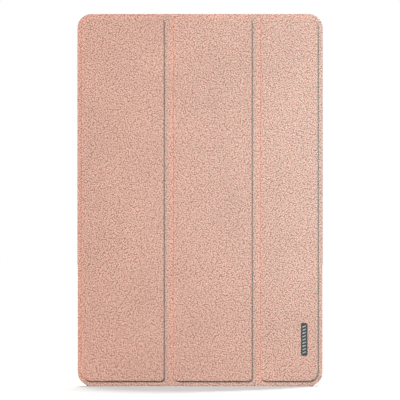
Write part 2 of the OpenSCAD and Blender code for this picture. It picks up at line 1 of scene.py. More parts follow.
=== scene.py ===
"""Tablet computer in a tri-fold folio case: the visual model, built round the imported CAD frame.

+X is the cover's free edge, -X the spine, -Y the front, +Z up. Everything is in metres.
"""

from __future__ import annotations

import json
import logging
import math
from collections import defaultdict
from dataclasses import dataclass, field
from enum import Enum
from typing import Any, Callable, Sequence

import bpy
from mathutils import Matrix, Vector

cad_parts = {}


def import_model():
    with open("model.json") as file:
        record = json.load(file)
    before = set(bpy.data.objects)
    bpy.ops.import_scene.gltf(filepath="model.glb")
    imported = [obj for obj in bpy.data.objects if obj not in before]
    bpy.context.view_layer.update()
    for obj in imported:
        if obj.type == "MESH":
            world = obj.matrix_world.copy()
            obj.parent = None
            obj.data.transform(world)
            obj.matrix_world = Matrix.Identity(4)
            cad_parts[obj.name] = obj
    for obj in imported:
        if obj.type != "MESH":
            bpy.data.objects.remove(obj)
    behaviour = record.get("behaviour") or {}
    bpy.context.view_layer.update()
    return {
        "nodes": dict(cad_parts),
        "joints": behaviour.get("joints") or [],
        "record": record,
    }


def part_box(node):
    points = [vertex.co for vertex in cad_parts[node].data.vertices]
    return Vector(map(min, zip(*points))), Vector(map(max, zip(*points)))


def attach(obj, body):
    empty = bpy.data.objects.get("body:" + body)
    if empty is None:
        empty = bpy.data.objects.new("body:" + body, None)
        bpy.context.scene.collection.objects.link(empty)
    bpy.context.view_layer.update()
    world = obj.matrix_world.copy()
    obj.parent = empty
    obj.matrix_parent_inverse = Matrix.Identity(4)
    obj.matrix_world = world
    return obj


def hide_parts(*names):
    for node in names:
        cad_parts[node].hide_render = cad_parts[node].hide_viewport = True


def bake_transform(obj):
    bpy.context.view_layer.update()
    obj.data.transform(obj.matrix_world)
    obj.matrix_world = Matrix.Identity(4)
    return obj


log = logging.getLogger("folio_tablet")

MM = 0.001
Place = Callable[[Vector, Vector], bool]


class Body(str, Enum):
    """The CAD bodies that pieces ride on."""

    TABLET = "tablet_and_shell"
    SPINE = "spine"
    PANEL_1 = "panel_1"
    PANEL_2 = "panel_2"
    PANEL_3 = "panel_3"
    POWER = "power_key"
    VOLUME = "volume_rocker"
    TRAY = "card_tray"


class Boolean(str, Enum):
    """How two closed shapes are put together."""

    CUT = "DIFFERENCE"
    JOIN = "UNION"
    KEEP = "INTERSECT"


# ---------------------------------------------------------------- bench: modelling operations


def choose(*pieces: bpy.types.Object) -> None:
    """Select these objects and nothing else, with the first one active."""
    if bpy.context.object and bpy.context.object.mode != "OBJECT":
        bpy.ops.object.mode_set(mode="OBJECT")
    bpy.ops.object.select_all(action="DESELECT")
    for piece in pieces:
        piece.select_set(True)
    bpy.context.view_layer.objects.active = pieces[0]


def settle(piece: bpy.types.Object) -> bpy.types.Object:
    """Put the object's place, turn and size into its mesh."""
    choose(piece)
    bpy.ops.object.transform_apply(location=True, rotation=True, scale=True)
    return piece


def block(name: str, low: Sequence[float], high: Sequence[float]) -> bpy.types.Object:
    """Add a box.

    Args:
        name: the new object's name.
        low: its lowest corner.
        high: its highest corner.

    Returns:
        The box, with its place in its mesh.
    """
    bpy.ops.object.select_all(action="DESELECT")
    middle = [(a + b) / 2 for a, b in zip(low, high)]
    bpy.ops.mesh.primitive_cube_add(size=1, location=middle)
    piece = bpy.context.object
    piece.name = piece.data.name = name
    piece.scale = [b - a for a, b in zip(low, high)]
    return settle(piece)


def round_bar(
    name: str, start: Sequence[float], end: Sequence[float], radius: float, sides: int = 32
) -> bpy.types.Object:
    """Add a cylinder between two points.

    Args:
        name: the new object's name.
        start: the middle of its first end.
        end: the middle of its other end.
        radius: its radius.
        sides: how many flat sides it has.

    Returns:
        The cylinder, with its place in its mesh.
    """
    bpy.ops.object.select_all(action="DESELECT")
    a, b = Vector(start), Vector(end)
    turn = (b - a).to_track_quat("Z", "Y").to_euler()
    bpy.ops.mesh.primitive_cylinder_add(
        vertices=sides, radius=radius, depth=(b - a).length, location=(a + b) / 2, rotation=turn
    )
    piece = bpy.context.object
    piece.name = piece.data.name = name
    return settle(piece)


def copy_of(piece: bpy.types.Object, name: str) -> bpy.types.Object:
    """A copy with its own mesh, which rides on nothing."""
    twin = piece.copy()
    twin.data = piece.data.copy()
    twin.name = twin.data.name = name
    twin.parent = None
    twin.hide_render = twin.hide_viewport = False
    for key in list(twin.keys()):
        if key.startswith("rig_"):
            del twin[key]
    bpy.context.scene.collection.objects.link(twin)
    return twin


def round_edges(
    piece: bpy.types.Object,
    width: float,
    segments: int,
    where: Place,
    sharp: float = 50.0,
    profile: float = 0.5,
) -> bpy.types.Object:
    """Bevel the sharp edges that lie where the test says.

    Args:
        piece: the mesh object.
        width: the bevel's offset.
        segments: how many faces the bevel has across.
        where: tells, from an edge's two ends, whether it is bevelled.
        sharp: the least angle in degrees between an edge's two faces.
        profile: the bevel's roundness, 0.5 for a quarter circle.

    Returns:
        The same object.
    """
    choose(piece)
    mesh = piece.data
    sides: dict[tuple[int, int], list[Vector]] = defaultdict(list)
    for face in mesh.polygons:
        for key in face.edge_keys:
            sides[key].append(face.normal.copy())
    limit = math.cos(math.radians(sharp))
    mesh.vertices.foreach_set("select", [False] * len(mesh.vertices))
    mesh.polygons.foreach_set("select", [False] * len(mesh.polygons))
    marks = []
    for edge in mesh.edges:
        normals = sides[edge.key]
        a, b = (mesh.vertices[i].co for i in edge.vertices)
        marks.append(len(normals) == 2 and normals[0].dot(normals[1]) < limit and where(a, b))
    mesh.edges.foreach_set("select", marks)
    if not any(marks):
        log.warning("%s: no edge to round", piece.name)
        return piece
    bpy.context.tool_settings.mesh_select_mode = (False, True, False)
    bpy.ops.object.mode_set(mode="EDIT")
    bpy.ops.mesh.bevel(offset=width, segments=segments, profile=profile, affect="EDGES", clamp_overlap=True)
    bpy.ops.object.mode_set(mode="OBJECT")
    return piece


def in_plane(axis: int, value: float, eps: float = 2e-5) -> Place:
    """A test for edges that lie in the plane where this axis has this value."""
    return lambda a, b: abs(a[axis] - value) < eps and abs(b[axis] - value) < eps


def along(axis: int, where: Place | None = None) -> Place:
    """A test for edges that run along this axis, and pass the other test if there is one."""

    def test(a: Vector, b: Vector) -> bool:
        others = [i for i in range(3) if i != axis]
        straight = all(abs(a[i] - b[i]) < 1e-6 for i in others)
        return straight and (where is None or where(a, b))

    return test


def combine(piece: bpy.types.Object, other: bpy.types.Object, how: Boolean) -> bpy.types.Object:
    """Cut, join or keep one closed shape with another, which is used up.

    Args:
        piece: the shape that is kept.
        other: the shape that works on it.
        how: cut, join or keep the common part.

    Returns:
        The first shape.
    """
    choose(piece)
    work = piece.modifiers.new("work", "BOOLEAN")
    work.operation = how.value
    work.object = other
    work.solver = "EXACT"
    bpy.ops.object.modifier_apply(modifier=work.name)
    bpy.data.objects.remove(other)
    return piece


def slice_at(
    piece: bpy.types.Object,
    point: Sequence[float],
    normal: Sequence[float],
    drop_ahead: bool = False,
    drop_behind: bool = False,
) -> bpy.types.Object:
    """Cut a mesh along a plane.

    Args:
        piece: the mesh object.
        point: a point of the plane.
        normal: the plane's normal.
        drop_ahead: throw away what lies on the normal's side, and close the cut.
        drop_behind: throw away what lies on the other side, and close the cut.

    Returns:
        The same object.
    """
    choose(piece)
    bpy.ops.object.mode_set(mode="EDIT")
    bpy.ops.mesh.select_all(action="SELECT")
    bpy.ops.mesh.bisect(
        plane_co=tuple(point),
        plane_no=tuple(normal),
        use_fill=drop_ahead or drop_behind,
        clear_outer=drop_ahead,
        clear_inner=drop_behind,
        threshold=1e-7,
    )
    bpy.ops.object.mode_set(mode="OBJECT")
    return piece


def plate(
    name: str,
    x: tuple[float, float],
    y: tuple[float, float],
    z: tuple[float, float],
    r_left: float,
    r_right: float,
    steps: int = 12,
) -> bpy.types.Object:
    """Add a slab that lies in the cover's plane, with round corners as seen from the front.

    Args:
        name: the new object's name.
        x: its left and right sides.
        y: its front and back faces.
        z: its lower and upper sides.
        r_left: the radius of its two left corners.
        r_right: the radius of its two right corners.
        steps: how many faces a corner has.

    Returns:
        The slab.
    """
    piece = block(name, (x[0], y[0], z[0]), (x[1], y[1], z[1]))
    for side, radius in ((x[0], r_left), (x[1], r_right)):
        if radius > 0:
            round_edges(piece, radius, steps, along(1, in_plane(0, side)))
    return piece


def smooth(piece: bpy.types.Object, degrees: float = 40.0) -> bpy.types.Object:
    """Shade smoothly up to this angle, with flat faces kept flat."""
    choose(piece)
    bpy.ops.object.shade_smooth_by_angle(angle=math.radians(degrees))
    even = piece.modifiers.new("even", "WEIGHTED_NORMAL")
    even.keep_sharp = True
    bpy.ops.object.modifier_apply(modifier=even.name)
    return piece


def softened_copy(node: str, name: str, width: float, segments: int = 2, sharp: float = 50.0) -> bpy.types.Object:
    """Copy a CAD node with its edges broken as a finished part's are.

    Args:
        node: the CAD node.
        name: the new piece's name.
        width: the bevel's offset.
        segments: how many faces the bevel has across.
        sharp: the least angle of an edge that is bevelled, in degrees.

    Returns:
        The new piece, which stands for the node.
    """
    piece = copy_of(NODES[node], name)
    choose(piece)
    bpy.ops.object.mode_set(mode="EDIT")
    bpy.ops.mesh.select_all(action="SELECT")
    bpy.ops.mesh.remove_doubles(threshold=2e-6)
    bpy.ops.mesh.dissolve_limited(angle_limit=math.radians(0.5))
    bpy.ops.object.mode_set(mode="OBJECT")
    edge = piece.modifiers.new("edge", "BEVEL")
    edge.width = width
    edge.segments = segments
    edge.limit_method = "ANGLE"
    edge.angle_limit = math.radians(sharp)
    bpy.ops.object.modifier_apply(modifier=edge.name)
    smooth(piece)
    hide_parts(node)
    return piece


def dress(piece: bpy.types.Object, material: bpy.types.Material) -> None:
    """Give a piece its finish."""
    piece.data.materials.clear()
    piece.data.materials.append(material)


def place_on(piece: bpy.types.Object, body: Body) -> None:
    """Let a piece ride on a body, and report it."""
    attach(piece, body.value)
    log.info("%s rides on %s", piece.name, body.value)


# ---------------------------------------------------------------- finishes


def linear(hex_colour: str, alpha: float = 1.0) -> tuple[float, float, float, float]:
    """Turn an sRGB hex colour into a linear one."""
    parts = [int(hex_colour[i : i + 2], 16) / 255 for i in (1, 3, 5)]
    values = [c / 12.92 if c <= 0.04045 else ((c + 0.055) / 1.055) ** 2.4 for c in parts]
    return (values[0], values[1], values[2], alpha)


def per(size_mm: float) -> float:
    """The texture scale whose cells are about this wide, in millimetres."""
    return 1000.0 / size_mm


def add(
    tree: bpy.types.NodeTree, kind: str, inputs: dict[str | int, Any] | None = None, **settings: Any
) -> bpy.types.Node:
    """Add a node.

    Args:
        tree: the material's node tree.
        kind: the node's type.
        inputs: a value, or an output to link, for each named input.
        settings: the node's own properties.

    Returns:
        The new node.
    """
    node = tree.nodes.new(kind)
    for name, value in settings.items():
        setattr(node, name, value)
    for name, value in (inputs or {}).items():
        if isinstance(value, bpy.types.NodeSocket):
            tree.links.new(value, node.inputs[name])
        else:
            node.inputs[name].default_value = value
    return node


def ramp(
    tree: bpy.types.NodeTree, factor: bpy.types.NodeSocket, stops: Sequence[tuple[float, str]]
) -> bpy.types.NodeSocket:
    """A colour ramp over a factor, through these (position, hex colour) stops."""
    node = add(tree, "ShaderNodeValToRGB", {"Fac": factor})
    while len(node.color_ramp.elements) < len(stops):
        node.color_ramp.elements.new(0.5)
    for element, (position, colour) in zip(node.color_ramp.elements, stops):
        element.position = position
        element.color = linear(colour)
    return node.outputs["Color"]


def emboss(
    tree: bpy.types.NodeTree,
    shader: bpy.types.Node,
    height: bpy.types.NodeSocket,
    depth_mm: float,
    strength: float = 1.0,
) -> None:
    """Turn a height pattern into the shader's relief.

    Args:
        tree: the material's node tree.
        shader: the shader that takes the relief.
        height: the pattern, from 0, deep, to 1, high.
        depth_mm: how deep the relief is, in millimetres.
        strength: how much of it shows.
    """
    bump = add(tree, "ShaderNodeBump", {"Height": height, "Strength": strength, "Distance": depth_mm * MM})
    tree.links.new(bump.outputs["Normal"], shader.inputs["Normal"])


@dataclass(frozen=True)
class Finish:
    """One finish: its shader's plain values, and a pattern that each kind of finish adds."""

    name: str
    colour: str
    roughness: float = 0.5
    metallic: float = 0.0
    ior: float = 1.5
    coat: float = 0.0
    sheen: float = 0.0
    specular: float = 0.5

    def make(self) -> bpy.types.Material:
        """Build the material."""
        material = bpy.data.materials.new(self.name)
        material.use_nodes = True
        tree = material.node_tree
        shader = tree.nodes["Principled BSDF"]
        shader.inputs["Base Color"].default_value = linear(self.colour)
        shader.inputs["Roughness"].default_value = self.roughness
        shader.inputs["Metallic"].default_value = self.metallic
        if self.metallic < 0.5:
            shader.inputs["IOR"].default_value = self.ior
        shader.inputs["Coat Weight"].default_value = self.coat
        shader.inputs["Coat Roughness"].default_value = 0.08
        shader.inputs["Specular IOR Level"].default_value = self.specular
        shader.inputs["Sheen Weight"].default_value = self.sheen
        shader.inputs["Sheen Roughness"].default_value = 0.45
        material.diffuse_color = linear(self.colour)
        place = add(tree, "ShaderNodeTexCoord").outputs["Object"]
        self.pattern(tree, shader, place)
        return material

    def pattern(self, tree: bpy.types.NodeTree, shader: bpy.types.Node, place: bpy.types.NodeSocket) -> None:
        """Add this finish's own detail; the plain finish has a faint unevenness in its gloss."""
        speck = add(tree, "ShaderNodeTexNoise", {"Vector": place, "Scale": per(1.2), "Detail": 3.0})
        gloss = add(
            tree,
            "ShaderNodeMapRange",
            {"Value": speck.outputs["Fac"], "To Min": self.roughness * 0.85, "To Max": min(1.0, self.roughness * 1.15)},
        )
        tree.links.new(gloss.outputs["Result"], shader.inputs["Roughness"])


@dataclass(frozen=True)
class PebbledLeather(Finish):
    """Polyurethane-coated leather, embossed by a roller: low round pebbles with creases between them.

    The eye sees a satin surface that breaks the light into specks; its colour is painted darker and redder in the
    creases as painted shade, and lighter on the pebbles' tops as a painted highlight.
    """

    pebble_mm: float = 0.98  # such a coating's pebbles are 0.8 to 1.3 mm wide
    relief_mm: float = 0.3
    # painted highlight: the colour of the pebbles' tops
    light: str = "#EFC0AF"
    # painted shade: the colour of the creases between the pebbles
    deep: str = "#B26C5A"

    def pattern(self, tree: bpy.types.NodeTree, shader: bpy.types.Node, place: bpy.types.NodeSocket) -> None:
        """Pebbles from warped cells, fine pores on them, and slow changes of tone over the sheet."""
        flat = self.unrolled(tree, place)
        warp = add(
            tree,
            "ShaderNodeTexNoise",
            {"Vector": flat, "Scale": per(6), "Detail": 1.0},
            noise_dimensions="2D",
        )
        shift = add(
            tree,
            "ShaderNodeVectorMath",
            {0: warp.outputs["Color"], 1: (1.5 * MM,) * 3, 2: flat},
            operation="MULTIPLY_ADD",
        )
        cells = add(
            tree,
            "ShaderNodeTexVoronoi",
            {"Vector": shift.outputs["Vector"], "Scale": per(self.pebble_mm), "Randomness": 0.85},
            feature="F1",
            voronoi_dimensions="2D",
        )
        pores = add(tree, "ShaderNodeTexNoise", {"Vector": place, "Scale": per(0.7), "Detail": 1.0})
        height = add(
            tree,
            "ShaderNodeMath",
            {0: cells.outputs["Distance"], 1: -1.0, 2: 1.0},
            operation="MULTIPLY_ADD",
        )
        relief = add(
            tree,
            "ShaderNodeMath",
            {0: pores.outputs["Fac"], 1: 0.15, 2: height.outputs["Value"]},
            operation="MULTIPLY_ADD",
        )
        emboss(tree, shader, relief.outputs["Value"], self.relief_mm)
        # the colour follows the relief: painted shade in the creases, a painted highlight on the pebbles' tops
        grain = ramp(tree, relief.outputs["Value"], ((0.42, self.deep), (0.73, self.colour), (1.03, self.light)))
        parts = add(tree, "ShaderNodeSeparateColor", {"Color": cells.outputs["Color"]})
        tint = add(tree, "ShaderNodeMix", {"Factor": parts.outputs["Green"]}, data_type="RGBA", blend_type="MULTIPLY")
        tree.links.new(grain, tint.inputs[6])
        tint.inputs[7].default_value = linear("#F4F8F0")
        patch = add(tree, "ShaderNodeTexNoise", {"Vector": place, "Scale": per(30), "Detail": 3.0})
        value = add(
            tree,
            "ShaderNodeMapRange",
            {"Value": patch.outputs["Fac"], "From Min": 0.3, "From Max": 0.7, "To Min": 0.95, "To Max": 1.05},
        )
        hue = add(tree, "ShaderNodeHueSaturation", {"Color": tint.outputs[2], "Value": value.outputs["Result"]})
        tree.links.new(hue.outputs["Color"], shader.inputs["Base Color"])
        gloss = add(
            tree,
            "ShaderNodeMapRange",
            {"Value": height.outputs["Value"], "From Min": 0.3, "From Max": 0.95, "To Min": 0.7, "To Max": 0.5},
        )
        tree.links.new(gloss.outputs["Result"], shader.inputs["Roughness"])

    def unrolled(self, tree: bpy.types.NodeTree, place: bpy.types.NodeSocket) -> bpy.types.NodeSocket:
        """Lay the grain flat on each face, whichever way the face looks, so that it isn't drawn out on the edges.

        Args:
            tree: the material's node tree.
            place: the object coordinates.

        Returns:
            The place along the surface.
        """
        facing = add(
            tree,
            "ShaderNodeVectorMath",
            {0: add(tree, "ShaderNodeTexCoord").outputs["Normal"]},
            operation="ABSOLUTE",
        )
        turned = add(tree, "ShaderNodeSeparateXYZ", {"Vector": facing.outputs["Vector"]})
        at = add(tree, "ShaderNodeSeparateXYZ", {"Vector": place})
        along_face = []
        for axis, other in (("X", "Z"), ("Z", "X")):
            rest = add(tree, "ShaderNodeMath", {0: turned.outputs["Y"], 1: turned.outputs[other]}, operation="MAXIMUM")
            most = add(
                tree, "ShaderNodeMath", {0: turned.outputs[axis], 1: rest.outputs["Value"]}, operation="GREATER_THAN"
            )
            choice = add(
                tree, "ShaderNodeMix", {"Factor": most.outputs["Value"], "A": at.outputs[axis], "B": at.outputs["Y"]}
            )
            along_face.append(choice.outputs["Result"])
        pair = add(tree, "ShaderNodeCombineXYZ", {"X": along_face[0], "Y": along_face[1]})
        turn = add(tree, "ShaderNodeMapping", {"Vector": pair.outputs["Vector"], "Rotation": (0.0, 0.0, 0.6)})
        return turn.outputs["Vector"]


@dataclass(frozen=True)
class NappedCloth(Finish):
    """Warp-knit microfibre with a brushed nap: a soft matt surface with lighter and darker strokes."""

    fibre_mm: float = 0.35  # the fibres are hundredths of a millimetre; drawn as tufts that show
    light: str = "#CDB0A4"
    deep: str = "#A98A7F"

    def pattern(self, tree: bpy.types.NodeTree, shader: bpy.types.Node, place: bpy.types.NodeSocket) -> None:
        """Tufts stretched along the nap, and broad strokes where it was brushed."""
        lie = add(tree, "ShaderNodeMapping", {"Vector": place, "Scale": (1.0, 1.0, 0.35)})
        tuft = add(
            tree,
            "ShaderNodeTexNoise",
            {"Vector": lie.outputs["Vector"], "Scale": per(self.fibre_mm), "Detail": 4.0, "Roughness": 0.7},
        )
        stroke = add(tree, "ShaderNodeTexNoise", {"Vector": lie.outputs["Vector"], "Scale": per(14), "Detail": 3.0})
        mix = add(
            tree,
            "ShaderNodeMath",
            {0: stroke.outputs["Fac"], 1: 0.3, 2: tuft.outputs["Fac"]},
            operation="MULTIPLY_ADD",
        )
        colour = ramp(tree, mix.outputs["Value"], ((0.35, self.deep), (0.65, self.colour), (0.95, self.light)))
        tree.links.new(colour, shader.inputs["Base Color"])
        emboss(tree, shader, tuft.outputs["Fac"], 0.08, 0.8)


@dataclass(frozen=True)
class MouldedPlastic(Finish):
    """Injection-moulded plastic from a spark-eroded mould: an even fine matt grain."""

    grit_mm: float = 0.30  # the mould's grain is about 0.1 mm; drawn three times as coarse
    relief_mm: float = 0.02

    def pattern(self, tree: bpy.types.NodeTree, shader: bpy.types.Node, place: bpy.types.NodeSocket) -> None:
        """Fine grain in the relief, and a slight unevenness of gloss."""
        grit = add(tree, "ShaderNodeTexNoise", {"Vector": place, "Scale": per(self.grit_mm), "Detail": 4.0})
        emboss(tree, shader, grit.outputs["Fac"], self.relief_mm, 0.8)
        flow = add(tree, "ShaderNodeTexNoise", {"Vector": place, "Scale": per(14), "Detail": 2.0})
        gloss = add(
            tree,
            "ShaderNodeMapRange",
            {"Value": flow.outputs["Fac"], "To Min": self.roughness * 0.88, "To Max": min(1.0, self.roughness * 1.12)},
        )
        tree.links.new(gloss.outputs["Result"], shader.inputs["Roughness"])


@dataclass(frozen=True)
class BlastedMetal(Finish):
    """Metal blasted with glass beads and then anodised or left bare: a silky, slightly sparkling matt."""

    bead_mm: float = 0.22  # beads leave pits of about 0.1 mm; drawn twice as wide
    relief_mm: float = 0.01

    def pattern(self, tree: bpy.types.NodeTree, shader: bpy.types.Node, place: bpy.types.NodeSocket) -> None:
        """Tiny pits, and a gloss that changes a little from pit to pit."""
        pits = add(tree, "ShaderNodeTexVoronoi", {"Vector": place, "Scale": per(self.bead_mm)}, feature="F1")
        emboss(tree, shader, pits.outputs["Distance"], self.relief_mm, 0.5)
        gloss = add(
            tree,
            "ShaderNodeMapRange",
            {"Value": pits.outputs["Distance"], "To Min": self.roughness * 0.85, "To Max": self.roughness * 1.2},
        )
        tree.links.new(gloss.outputs["Result"], shader.inputs["Roughness"])


@dataclass(frozen=True)
class RolledMetal(Finish):
    """Cold-rolled and stamped sheet metal: fine straight lines from the rolls."""

    line_mm: float = 0.2

    def pattern(self, tree: bpy.types.NodeTree, shader: bpy.types.Node, place: bpy.types.NodeSocket) -> None:
        """Noise stretched along X, in the gloss and faintly in the relief."""
        lie = add(tree, "ShaderNodeMapping", {"Vector": place, "Scale": (0.06, 1.0, 1.0)})
        lines = add(
            tree,
            "ShaderNodeTexNoise",
            {"Vector": lie.outputs["Vector"], "Scale": per(self.line_mm), "Detail": 3.0},
        )
        gloss = add(
            tree,
            "ShaderNodeMapRange",
            {"Value": lines.outputs["Fac"], "To Min": self.roughness * 0.7, "To Max": self.roughness * 1.3},
        )
        tree.links.new(gloss.outputs["Result"], shader.inputs["Roughness"])
        emboss(tree, shader, lines.outputs["Fac"], 0.01, 0.3)


@dataclass(frozen=True)
class InkedGlass(Finish):
    """Chemically toughened glass with black ink printed behind its border, over a display that is off."""

    picture: tuple[float, float, float, float] = (0.0, 0.0, 0.0, 0.0)
    panel: str = "#12141A"

    def pattern(self, tree: bpy.types.NodeTree, shader: bpy.types.Node, place: bpy.types.NodeSocket) -> None:
        """A slightly lighter, bluer field where the picture is; picture is its low x, high x, low z, high z."""
        low_x, high_x, low_z, high_z = self.picture
        axes = add(tree, "ShaderNodeSeparateXYZ", {"Vector": place})
        inside: bpy.types.NodeSocket | float = 1.0
        for axis, low, high in (("X", low_x, high_x), ("Z", low_z, high_z)):
            off = add(tree, "ShaderNodeMath", {0: axes.outputs[axis], 1: (low + high) / 2}, operation="SUBTRACT")
            far = add(tree, "ShaderNodeMath", {0: off.outputs["Value"]}, operation="ABSOLUTE")
            near = add(tree, "ShaderNodeMath", {0: far.outputs["Value"], 1: (high - low) / 2}, operation="LESS_THAN")
            both = add(tree, "ShaderNodeMath", {0: near.outputs["Value"], 1: inside}, operation="MULTIPLY")
            inside = both.outputs["Value"]
        smear = add(tree, "ShaderNodeTexNoise", {"Vector": place, "Scale": per(45), "Detail": 3.0})
        gloss = add(
            tree,
            "ShaderNodeMapRange",
            {
                "Value": smear.outputs["Fac"],
                "From Min": 0.35,
                "From Max": 0.75,
                "To Min": self.roughness * 0.8,
                "To Max": self.roughness * 2.2,
            },
        )
        tree.links.new(gloss.outputs["Result"], shader.inputs["Roughness"])
        mix = add(tree, "ShaderNodeMix", {"Factor": inside}, data_type="RGBA")
        mix.inputs[6].default_value = linear(self.colour)
        mix.inputs[7].default_value = linear(self.panel)
        tree.links.new(mix.outputs[2], shader.inputs["Base Color"])


@dataclass(frozen=True)
class WovenMesh(Finish):
    """Fine woven steel gauze over the loudspeakers: a grid of wires, with painted shade in the gaps between them."""

    pitch_mm: float = 0.3

    def pattern(self, tree: bpy.types.NodeTree, shader: bpy.types.Node, place: bpy.types.NodeSocket) -> None:
        """Two sets of waves at right angles; the gaps are painted near black as painted shade."""
        waves = []
        for direction in ("X", "Y"):
            wave = add(
                tree,
                "ShaderNodeTexWave",
                {"Vector": place, "Scale": per(self.pitch_mm) / 20, "Distortion": 0.0},
                bands_direction=direction,
            )
            waves.append(wave.outputs["Fac"])
        both = add(tree, "ShaderNodeMath", {0: waves[0], 1: waves[1]}, operation="MAXIMUM")
        # painted shade: the near-black colour in the gaps stands for the shaded space behind the gauze
        colour = ramp(tree, both.outputs["Value"], ((0.45, "#08080A"), (0.75, self.colour)))
        tree.links.new(colour, shader.inputs["Base Color"])
        emboss(tree, shader, both.outputs["Value"], 0.05, 0.8)


@dataclass(frozen=True)
class PrintedBoard(Finish):
    """Glass-epoxy circuit board under solder mask: dull green with lighter copper traces below it."""

    trace: str = "#2E6A4C"

    def pattern(self, tree: bpy.types.NodeTree, shader: bpy.types.Node, place: bpy.types.NodeSocket) -> None:
        """Loosely ordered cells stand for the traces and pads."""
        cells = add(
            tree,
            "ShaderNodeTexVoronoi",
            {"Vector": place, "Scale": per(1.4), "Randomness": 0.55},
            feature="DISTANCE_TO_EDGE",
            distance="EUCLIDEAN",
        )
        colour = ramp(tree, cells.outputs["Distance"], ((0.03, self.trace), (0.09, self.colour)))
        tree.links.new(colour, shader.inputs["Base Color"])
        emboss(tree, shader, cells.outputs["Distance"], 0.03, 0.3)


@dataclass(frozen=True)
class CoatedLens(Finish):
    """Polished glass with a vacuum-deposited anti-reflection coating: black, and what it mirrors is violet."""

    glint: str = "#8E7BE8"

    def pattern(self, tree: bpy.types.NodeTree, shader: bpy.types.Node, place: bpy.types.NodeSocket) -> None:
        """The coating tints the mirror image, and a film of dust on the glass dulls it in spots."""
        shader.inputs["Specular Tint"].default_value = linear(self.glint)
        dust = add(tree, "ShaderNodeTexNoise", {"Vector": place, "Scale": per(0.6), "Detail": 3.0})
        gloss = add(
            tree,
            "ShaderNodeMapRange",
            {"Value": dust.outputs["Fac"], "From Min": 0.4, "From Max": 0.8, "To Min": self.roughness, "To Max": 0.18},
        )
        tree.links.new(gloss.outputs["Result"], shader.inputs["Roughness"])
        film = ramp(tree, dust.outputs["Fac"], ((0.45, self.colour), (0.9, "#24242C")))
        tree.links.new(film, shader.inputs["Base Color"])


@dataclass(frozen=True)
class FibreBoard(Finish):
    """Pressed paper fibre board: dull brown with short pale fibres."""

    def pattern(self, tree: bpy.types.NodeTree, shader: bpy.types.Node, place: bpy.types.NodeSocket) -> None:
        """Short stretched flecks."""
        lie = add(tree, "ShaderNodeMapping", {"Vector": place, "Scale": (1.0, 1.0, 0.3)})
        fleck = add(tree, "ShaderNodeTexNoise", {"Vector": lie.outputs["Vector"], "Scale": per(0.8), "Detail": 4.0})
        colour = ramp(tree, fleck.outputs["Fac"], ((0.35, "#4A4038"), (0.6, self.colour), (0.75, "#8C7B68")))
        tree.links.new(colour, shader.inputs["Base Color"])
        emboss(tree, shader, fleck.outputs["Fac"], 0.05, 0.5)


# ---------------------------------------------------------------- sizes from the frame


@dataclass
class Sizes:
    """Lengths and places that several sub-assemblies share, read from the CAD frame."""

    hinges: dict[str, Vector] = field(default_factory=dict)

    def __post_init__(self) -> None:
        """Read every value from the nodes' boxes and the joints."""
        low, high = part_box("panel_3_skin")
        self.height = high.z
        self.x_right = high.x
        self.y_front = low.y
        self.y_board, self.y_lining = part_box("panel_2_lining")[0].y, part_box("panel_2_lining")[1].y
        spine_low, spine_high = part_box("spine_skin")
        self.x_left = spine_low.x
        self.skin = spine_high.x - spine_low.x
        self.y_rim = self.y_board - self.skin
        shell_low, shell_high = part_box("rear_shell")
        self.shell_left, self.shell_right = shell_low.x, shell_high.x
        self.y_lip, self.y_shell_out = shell_low.y, shell_high.y
        self.y_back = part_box("back_skin")[1].y
        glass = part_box("cover_glass")
        self.y_glass = glass[0].y
        self.spine_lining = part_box("spine_lining")
        self.corner = 10.0 * MM
        for joint in JOINTS:
            if "pos_m" in joint:
                self.hinges[joint["name"]] = Vector(joint["pos_m"])
        self.seam_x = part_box("panel_1_skin")[0].x


NODES: dict[str, bpy.types.Object] = {}
JOINTS: list[dict[str, Any]] = []
PALETTE: dict[str, bpy.types.Material] = {}
RECORD: dict[str, Any] = {}


# ---------------------------------------------------------------- the cover


